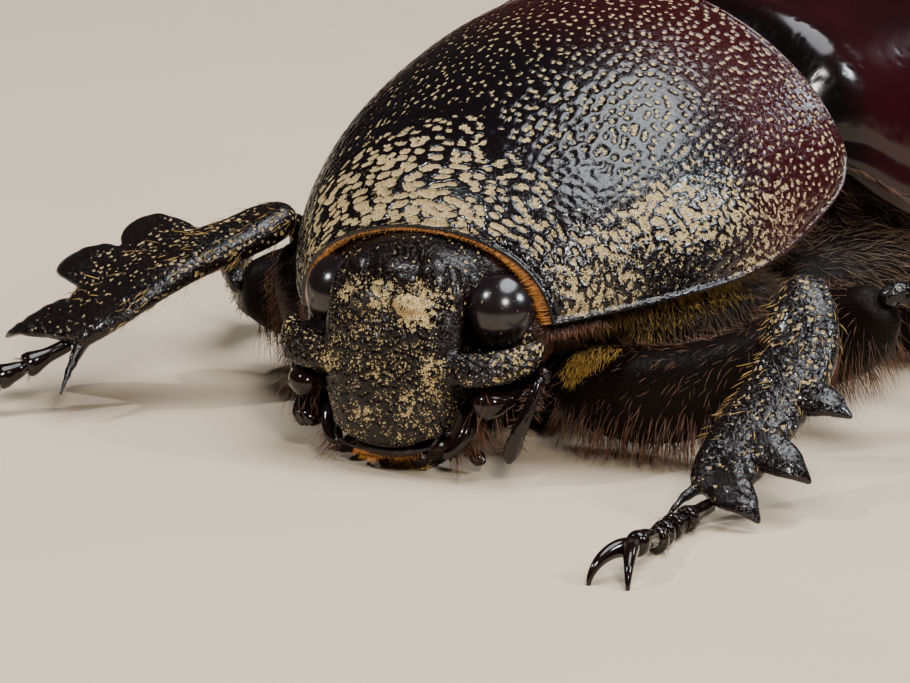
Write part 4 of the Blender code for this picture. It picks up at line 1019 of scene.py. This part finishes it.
# --- Body below the plates ----------------------------------------------------------------------
# One skin for the breast, hip joints, belly rings and tail plate: dark brown cuticle, softer than
# the shields, ringed by the edges of the belly segments and roughened for its coat of hair.
BODY_NODES = ["prosternum", "metathorax", "abdomen", "pygidium"] + ["coxa_" + n for n in LEGS]
BODY_SHELL = cuticle("body_shell", (0.0018, 0.001, 0.001), (0.009, 0.003, 0.002), 0.5, 0.08,
                     (0.26, 0.16, 0.07), 0.5, grain=0.15)
BREAST_LUMPS = (((6.0, 9.4, 4.5), (2.3, 3.9, 1.25)), ((6.4, 18.5, 4.4), (2.5, 5.2, 1.7)))
WAIST = ((0, 14.9, 7.2), (6.9, 2.0, 4.3))
BELLY_RINGS = (24.4, 26.9, 29.2, 31.3, 33.2, 35.1)


def body_piece():
    bm = bmesh.new()
    for node in BODY_NODES:
        bm.from_mesh(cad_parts[node].data)
    bmesh.ops.remove_doubles(bm, verts=bm.verts, dist=1e-7)
    bmesh.ops.scale(bm, vec=(1 / MM,) * 3, verts=bm.verts)
    bmesh.ops.translate(bm, vec=ORIGIN, verts=bm.verts)
    for side in (1, -1):
        for centre, radii in BREAST_LUMPS:
            lump(bm, np.multiply(centre, (side, 1, 1)), radii)
    lump(bm, *WAIST)
    mesh, p, _ = surface(grown(bm, "body_skin", 0.17, 7))
    set_coords(mesh, rolled(p, -TRUNK_ROLL))
    _, p, n = surface(mesh)
    rise = 0.02 * rubble(p, 1.0, 111)
    for place in BELLY_RINGS:
        off = p[:, 1] - place - 0.35 * (np.abs(p[:, 0]) / 8) ** 2
        rise -= 0.14 * ease(0.22, 0.0, np.abs(off))
        rise += 0.05 * ease(0.0, -0.2, off) * ease(-0.9, -0.3, off)
    pit = ease(0.42, 0.15, pores(p, 0.42, 112)[0])
    rise = rise * ease(0.75, 0.35, n[:, 2]) - 0.03 * pit
    p += n * rise[:, None]
    set_down(mesh, p, BODY_SHELL, BODY_NODES, TRUNK_ROLL, pit=pit,
             soil=0.15 + 0.22 * rubble(p, 1.4, 113), warm=0.35 + 0.3 * rubble(p, 3, 114))
    return p, n


BODY_POINTS, BODY_NORMALS = body_piece()

# --- Hair ---------------------------------------------------------------------------------------
# Bristles and soft hairs, each a thin tapered spike rooted in the cuticle: an amber fringe round
# the neck, golden and rust hair on the breast and thighs, and stiff bristles on mouth and shins.
HAIR_SIDES, HAIR_CUTS = 3, (0.33, 0.66)
HAIR_CLEAR = 0.02    # hairs that reach the floor are laid this far above it
PATCH = 0.003


def hair_shape():
    """One spike, standing on its root from 0 to 1."""
    bm = bmesh.new()
    bmesh.ops.create_cone(bm, cap_ends=True, segments=HAIR_SIDES, radius1=1, radius2=0.12, depth=1)
    bmesh.ops.translate(bm, vec=(0, 0, 0.5), verts=bm.verts)
    for cut in HAIR_CUTS:
        bmesh.ops.bisect_plane(bm, geom=bm.verts[:] + bm.edges[:] + bm.faces[:],
                               plane_co=(0, 0, cut), plane_no=(0, 0, 1))
    bmesh.ops.triangulate(bm, faces=bm.faces)
    bm.verts.index_update()
    points = np.array([v.co[:] for v in bm.verts])
    faces = np.array([[v.index for v in f.verts] for f in bm.faces])
    bm.free()
    wide = np.hypot(points[:, 0], points[:, 1])
    points[:, :2] /= wide[:, None]
    return points, faces


HAIR_POINTS, HAIR_FACES = hair_shape()


def hair_material(name, root, tip, gloss):
    made, tree = fresh_material(name)
    tone = attribute(tree, "tone")
    colour = blended(tree, attribute(tree, "reach"), (*root, 1), (*tip, 1))
    shade = put(tree, "ShaderNodeHueSaturation", {
        "Hue": 0.5, "Saturation": 1.0, "Value": spread(tree, tone, 0.45, 1.55), "Color": colour})
    close_material(tree, {"Base Color": shade.outputs[0], "IOR": 1.55,
                          "Roughness": spread(tree, tone, gloss, gloss + 0.2)})
    return made


AMBER_HAIR = hair_material("amber_hair", (0.16, 0.045, 0.008), (0.62, 0.25, 0.04), 0.35)
RUST_HAIR = hair_material("rust_hair", (0.02, 0.007, 0.004), (0.19, 0.070, 0.028), 0.32)
GOLD_HAIR = hair_material("gold_hair", (0.06, 0.030, 0.008), (0.62, 0.37, 0.075), 0.38)
BROWN_HAIR = hair_material("brown_hair", (0.018, 0.009, 0.005), (0.13, 0.070, 0.028), 0.35)


def coat(name, roots, ways, length, thick, droop, material, roll, unwrap, seed=1):
    """A coat of hairs: roots and ways are where each stands and points, droop bends it over."""
    rng = np.random.default_rng(seed)
    count = len(roots)
    length = np.broadcast_to(length, count) * rng.uniform(0.65, 1.25, count)
    thick = np.broadcast_to(thick, count) * rng.uniform(0.8, 1.2, count)
    ways = unit(np.asarray(ways) + rng.normal(0, 0.16, (count, 3)))
    bend = np.asarray(droop) + rng.normal(0, 0.12, (count, 3))
    k = HAIR_POINTS[:, 2]
    side = unit(np.cross(ways, rng.normal(0, 1, (count, 3))))
    up = np.cross(ways, side)
    path = (roots - ways * 0.03)[:, None] + ways[:, None] * (length[:, None] * k)[..., None] \
        + bend[:, None] * (length[:, None] * k**2)[..., None]
    taper = (thick[:, None] * (1 - 0.86 * k**1.6))[..., None]
    round_it = side[:, None] * HAIR_POINTS[:, 0, None] + up[:, None] * HAIR_POINTS[:, 1, None]
    spots = rolled(path + round_it * taper, roll)
    spots[:, 2] = np.maximum(spots[:, 2], ORIGIN[2] + HAIR_CLEAR)
    faces = (HAIR_FACES[None] + (np.arange(count) * len(k))[:, None, None]).reshape(-1, 3)
    mesh = bpy.data.meshes.new(name)
    mesh.from_pydata(spots, [], faces.tolist())
    patch = joined(k * PATCH, HAIR_POINTS[:, 0] * PATCH / 3)
    uv = (np.asarray(unwrap)[:, None] * (1 - PATCH) + patch[None]).reshape(-1, 2)
    layer = mesh.uv_layers.new(name="OFBake")
    corners = np.empty(len(mesh.loops), int)
    mesh.loops.foreach_get("vertex_index", corners)
    layer.data.foreach_set("uv", uv[corners].astype(np.float32).ravel())
    mesh.shade_smooth()
    set_down(mesh, spots, material, reach=np.tile(k, count),
             tone=np.repeat(rng.random(count), len(k)))


def sides_of(s, t):
    return joined(np.clip((t + 1) / 2, 0, 1), s)


def outward(point, s, t, step=0.004):
    a = point(np.clip(s + step, 0, 1), t) - point(np.clip(s - step, 0, 1), t)
    b = point(s, np.clip(t + step, -1, 1)) - point(s, np.clip(t - step, -1, 1))
    return unit(np.cross(b, a))


rng = np.random.default_rng(5)


def neck_fringe():
    """Short amber bristles all round the front edge of the shield, bent in over the head."""
    t = rng.uniform(-0.99, 0.99, 2400)
    s = np.zeros(len(t))
    roots = pronotum_point(s, t)
    out = outward(pronotum_point, s + 0.004, t)
    roots = roots - out * rng.uniform(0.03, 0.20, len(t))[:, None]
    edge = ease(0.35, 0.85, np.abs(t))
    ways = (0, -1.0, 0) - out * (0.35 + 0.25 * edge)[:, None]
    ways[:, 0] -= 0.5 * np.sign(t) * edge
    coat("neck_fringe", roots, ways, 0.14 + 0.20 * edge, 0.014, -out * 0.25, AMBER_HAIR,
         TRUNK_ROLL, sides_of(s + 0.01, t), 6)


neck_fringe()


def corner_tufts():
    """Rust tufts under the front corners of the shield."""
    for side, name in SIDES:
        s = rng.uniform(0.0, 0.18, 190) ** 1.15
        t = np.full(len(s), float(side))
        roots = pronotum_point(s, t)
        roots[:, 0] -= side * rng.uniform(0.05, 0.40, len(s))
        roots[:, 2] -= rng.uniform(0.12, 0.25, len(s))
        ways = rng.normal(0, 0.35, roots.shape) + (0.35 * side, -0.35, -0.85)
        coat("corner_tuft_" + name, roots, ways, 0.34, 0.013, (0.05 * side, 0.1, -0.15), RUST_HAIR,
             TRUNK_ROLL, sides_of(s, t), 7)


corner_tufts()


def sown(points, normals, count, weight):
    """Random roots on a skin, more where weight is high."""
    weight = np.maximum(weight, 0)
    chosen = rng.choice(len(points), min(count, int((weight > 0).sum())), replace=False,
                        p=weight / weight.sum())
    jitter = rng.normal(0, 0.03, (len(chosen), 3))
    return points[chosen] + jitter, normals[chosen]


def round_unwrap(roots):
    """Unwrap of the long body: round it and along it."""
    angle = np.arctan2(roots[:, 2] - 6.0, roots[:, 0]) / (2 * math.pi) + 0.5
    return np.clip(joined(angle, (roots[:, 1] + 2) / 44), 0.01, 0.98)


GOLD_LINE = ((4.1, 3.5, 3.2), (4.7, 4.05, 3.6), (5.57, 4.5, 4.05), (6.1, 5.4, 4.35), (7.1, 6.6, 4.95),
             (7.6, 8.1, 5.2), (8.0, 9.6, 5.3))


def line_gap(points, line):
    """Distance of each point from a bent line."""
    gaps = []
    for a, b in zip(np.array(line)[:-1], np.array(line)[1:]):
        share = np.clip(((points - a) @ (b - a)) / ((b - a) @ (b - a)), 0, 1)
        gaps.append(np.linalg.norm(points - a - share[:, None] * (b - a), axis=1))
    return np.min(gaps, axis=0)


def body_coats():
    p, n = BODY_POINTS, BODY_NORMALS
    x, y, z = p.T
    wide = np.abs(x)

    def grow(name, count, weight, stand, lie, length, thick, droop, material, seed):
        roots, out = sown(p, n, count, weight)
        coat(name, roots, out * stand + lie, length, thick, droop, material, TRUNK_ROLL,
             round_unwrap(roots), seed)

    below = curve(MARGIN_Z, np.clip((y - 1.8) / 13.2, 0, 1)) - z
    gold = 1.75 - 0.13 * (y - 2)
    band = ease(0.15, 0.35, below) * ease(gold + 0.9, gold, below) * ease(1.6, 2.3, y) \
        * ease(13.5, 9.5, y) * ease(3.5, 4.5, wide) * (0.25 + ease(0.9, 0.1, np.abs(below - gold)))
    grow("side_band", 5200, band, 0.55, (0, -0.15, -0.75), 0.55, 0.012, (0, 0.05, -0.15),
         BROWN_HAIR, 8)
    for side, name in SIDES:
        near = line_gap(p * (side, 1, 1), GOLD_LINE)
        grow("gold_band_" + name, 1500, ease(0.65, 0.1, near) * (n[:, 0] * side > -0.1), 0.5,
             (0.4 * side, -0.5, -0.5), 0.42, 0.014, (0, 0, -0.1), GOLD_HAIR, 21)
    breast = ease(0.25, -0.25, n[:, 2]) * ease(23.8, 22.5, y) * ease(0.5, 2.5, y)
    grow("breast_coat", 4600, breast, 0.5, (0, 0.75, -0.15), 0.75, 0.014, (0, 0.25, 0),
         RUST_HAIR, 9)
    flank = ease(-0.35, -0.1, n[:, 2]) * ease(5.0, 6.0, wide) * ease(9.0, 11.0, y) \
        * ease(36, 34, y) * ease(7.2, 6.4, z)
    grow("flank_coat", 3400, flank, 0.6, (0, 0.6, -0.5), 0.70, 0.013, (0, 0.15, -0.15),
         BROWN_HAIR, 23)
    rows = sum(ease(0.45, 0.15, np.abs(y - place + 0.6 - 0.35 * (wide / 8) ** 2))
               for place in BELLY_RINGS)
    belly = ease(0.3, -0.2, n[:, 2]) * ease(23.6, 24.2, y) * (0.12 + rows)
    grow("belly_rows", 3600, belly + ease(34.8, 36.5, y) * 0.5, 0.5, (0, 0.85, -0.05), 0.60, 0.015,
         (0, 0.2, 0), RUST_HAIR, 10)


body_coats()


def wing_fringes():
    """Fine hairs along the side edge of each wing case."""
    for side, name in SIDES:
        s = rng.uniform(0.02, 0.97, 900)
        roots = elytron_point(s, np.full(len(s), 0.995)) * (side, 1, 1) - (0, 0, 0.08)
        coat("wing_fringe_" + name, roots, (0.55 * side, 0.35, -0.65), 0.42, 0.013,
             (0, 0.15, -0.1), RUST_HAIR, TRUNK_ROLL, joined(0.98, s * 0.98), 12)


wing_fringes()


def limb_roots(stations, flat, count, power, low, high, share=None):
    """Random roots on a leg piece, with outward directions; share thins them out."""
    shape = through(stations, flat, power)
    back, around = rng.uniform(low, high, count), rng.uniform(0, 1, count)
    roots = shape(back, around)
    out = unit(roots - shape(back, around + 0.5))
    places = joined(around * 0.98, back * 0.98)
    if share is None:
        return roots, out, places
    keep = rng.random(count) < np.clip(share(out), 0.02, 1)
    return roots[keep], out[keep], places[keep]


def foot_bristles(name, leg):
    feet, ways, spots = [], [], []
    joints = [np.array(j) for j in leg["tarsus"]]
    for i, (a, b) in enumerate(zip(joints[:4], joints[1:5])):
        way = (b - a) / np.linalg.norm(b - a)
        for _ in range(16):
            out = unit(rng.normal(0, 1, (1, 3)))[0]
            out -= way * out.dot(way)
            out /= np.linalg.norm(out)
            feet.append(a + (b - a) * 0.9 + out * 0.28)
            ways.append(out * 0.55 + way * 0.75)
            spots.append(((i + 0.5) / 5, 0.1 + 0.8 * rng.random()))
    coat("foot_bristles_" + name, np.array(feet), ways, 0.42, 0.02, (0, 0, -0.1), BROWN_HAIR, 0.0,
         spots, 15)


def leg_coats(name, leg):
    fore, side = name.startswith("fore"), 1 if name.endswith("left") else -1
    few, more = (0.22, 1.0) if fore else (0.50, 0.5)
    thigh, shin = (leg["femur"], leg["femur_flat"]), (leg["tibia"], leg["tibia_flat"])
    roots, out, places = limb_roots(*thigh, 3600 if fore else 1700, 2.1, 0.04, 0.93,
                                    lambda out: few + more * ease(0.1, 0.7, -out[:, 2]))
    length = 0.55 + 0.45 * ease(0.2, 0.9, -out[:, 2])
    if fore:
        strip, away, spots = limb_roots(*thigh, 14000, 2.1, 0.0, 0.8, lambda out: 1)
        keep = (line_gap(strip * (side, 1, 1), GOLD_LINE) < 0.55) & (away[:, 2] > -0.2)
        coat("gold_strip_" + name, strip[keep], away[keep] * 0.25 + (0.3 * side, -0.6, -0.5), 0.42,
             0.014, (0, 0, -0.1), GOLD_HAIR, 0.0, spots[keep], 22)
    coat("thigh_coat_" + name, roots, out * 0.8 + (0, -0.25 if fore else 0.2, -0.5), length, 0.013,
         (0, 0, -0.2), RUST_HAIR, 0.0, places, 13)
    roots, out, places = limb_roots(*shin, 420 if fore else 500, 2.3, 0.03, 0.85, lambda out: 0.45)
    down = shin_way(leg)
    coat("shin_coat_" + name, roots, out * 0.65 + down * 0.75, 0.42, 0.015, down * 0.2,
         GOLD_HAIR if fore else BROWN_HAIR, 0.0, places, 14)
    foot_bristles(name, leg)


for name, leg in LEGS.items():
    leg_coats(name, leg)


def mouth_bristles():
    """The brush of the upper lip, the fans of the jaws and the long bristles of the antennae."""
    k = rng.uniform(-1, 1, 460)
    k = np.where(rng.random(len(k)) < 0.5, k, -0.35 + 0.3 * k)
    roots = joined(1.40 * k, -0.78 + 0.32 * k**2,
                   0.74 + 0.10 * k**2 + rng.uniform(-0.10, 0.06, len(k)))
    coat("lip_brush", roots, joined(0.3 * k, -0.5, -0.8), 0.13 + 0.16 * ease(0.0, -0.4, k), 0.013,
         (0, 0.1, -0.1), AMBER_HAIR, HEAD_ROLL, joined((k + 1) / 2.05, 0.5), 16)
    k, h = rng.uniform(-1, 1, 420), rng.uniform(0, 1, 420)
    coat("chin_brush", joined(k, 0.25 + 0.3 * h, 0.22 + 0.5 * h), joined(0.5 * k, -0.7, -0.35),
         0.36, 0.018, (0, 0.1, -0.1), GOLD_HAIR, HEAD_ROLL, joined((k + 1) / 2.05, h * 0.95), 17)
    for side, name in SIDES:
        h = rng.uniform(0, 1, 90)
        roots = joined(side * (2.15 + 0.75 * h + rng.uniform(-0.15, 0.2, len(h))), -0.25 + 0.9 * h,
                       0.85 + 1.15 * h)
        coat("jaw_fan_" + name, roots, joined(side * (0.45 + 0.2 * h), -0.45 + 0.2 * h, -0.8), 1.0,
             0.013, (0.1 * side, 0, -0.1), RUST_HAIR, HEAD_ROLL, joined(0.1 + 0.8 * h, 0.3), 18)
        roots, out, places = limb_roots(on_side(side, SCAPE), (0, 0, 1), 60, 2.0, 0.15, 0.9,
                                        lambda out: 0.25 + ease(-0.2, 0.7, -out[:, 2]))
        coat("stalk_bristles_" + name, roots, out * 0.6 + (0.1 * side, -0.2, -0.6), 1.0, 0.012,
             (0, 0, -0.1), RUST_HAIR, HEAD_ROLL, places, 19)
        club = CLUB if side > 0 else TUCKED
        roots, out, places = limb_roots(club, (0.9, 0.45, 0.2), 90, 2.2, 0.1, 0.9)
        coat("leaf_bristles_" + name, roots, out * 0.8 + (0, 0, -0.3), 0.35, 0.013, (0, 0, -0.1),
             RUST_HAIR, HEAD_ROLL, places, 20)


mouth_bristles()

# --- Floor, light and camera --------------------------------------------------------------------
# A plain pale floor. One broad lamp overhead and a small one from the front right give the long
# soft lights on the shield, two more fill the front and left, and a faint one behind draws edges.
LAMPS = (("overhead_lamp", (0.09, 0.02, 0.36), (0.34, 0.24), 2.0, (0.94, 0.97, 1.0), -0.01),
         ("glint_lamp", (-0.17, -0.26, 0.28), (0.013, 0.013), 0.9, (0.92, 0.97, 1.0), -0.02),
         ("front_lamp", (0.26, -0.26, 0.24), (0.06, 0.06), 1.3, (1.0, 0.96, 0.90), -0.02),
         ("side_lamp", (0.30, 0.05, 0.21), (0.08, 0.07), 0.9, (0.84, 0.93, 1.0), -0.01),
         ("edge_lamp", (0.12, 0.34, 0.20), (0.10, 0.05), 0.25, (0.80, 0.90, 1.0), 0.01))
AZIMUTH, ELEVATION, DISTANCE = math.radians(34), math.radians(13), 200.0
AIM_RIGHT, AIM_UP = 2.0, 4.283
SENSOR, LENS = 36.0, 237.363


def floor_piece():
    bm = bmesh.new()
    bmesh.ops.create_circle(bm, cap_ends=True, segments=128, radius=4.0)
    floor = bpy.data.objects.new("floor", to_mesh(bm, "floor"))
    made, tree = fresh_material("pale_floor")
    mottle = noise(tree, object_place(tree), 60.0, 6.0).outputs[0]
    colour = blended(tree, mottle, (0.54, 0.43, 0.31, 1), (0.61, 0.49, 0.36, 1))
    close_material(tree, {"Base Color": colour, "Roughness": 0.65})
    floor.data.materials.append(made)
    bpy.context.scene.collection.objects.link(floor)


def lamp(name, place, size, power, colour, aim_y):
    light = bpy.data.lights.new(name, "AREA")
    light.shape, light.size, light.size_y = "ELLIPSE", *size
    light.energy, light.color = power, colour
    made = bpy.data.objects.new(name, light)
    made.location = place
    aim = Vector((0, aim_y, 0.006)) - Vector(place)
    made.rotation_euler = aim.to_track_quat("-Z", "Y").to_euler()
    bpy.context.scene.collection.objects.link(made)


def camera_piece():
    backward = Vector((math.sin(AZIMUTH) * math.cos(ELEVATION),
                       -math.cos(AZIMUTH) * math.cos(ELEVATION), math.sin(ELEVATION)))
    right = Vector((math.cos(AZIMUTH), math.sin(AZIMUTH), 0))
    upward = backward.cross(right)
    camera = bpy.data.objects.new("camera", bpy.data.cameras.new("camera"))
    camera.data.sensor_width, camera.data.lens = SENSOR, LENS
    camera.data.clip_start, camera.data.clip_end = 0.01, 20.0
    place = (right * AIM_RIGHT + upward * AIM_UP + backward * DISTANCE - Vector(ORIGIN)) * MM
    turn = Matrix((right, upward, backward)).transposed().to_4x4()
    camera.matrix_world = Matrix.Translation(place) @ turn
    bpy.context.scene.collection.objects.link(camera)
    bpy.context.scene.camera = camera


floor_piece()
for settings in LAMPS:
    lamp(*settings)
room = bpy.data.worlds.new("room")
room.use_nodes = True
glow = room.node_tree.nodes["Background"].inputs
glow[0].default_value, glow[1].default_value = (0.84, 0.77, 0.68, 1), 0.07
bpy.context.scene.world = room
camera_piece()
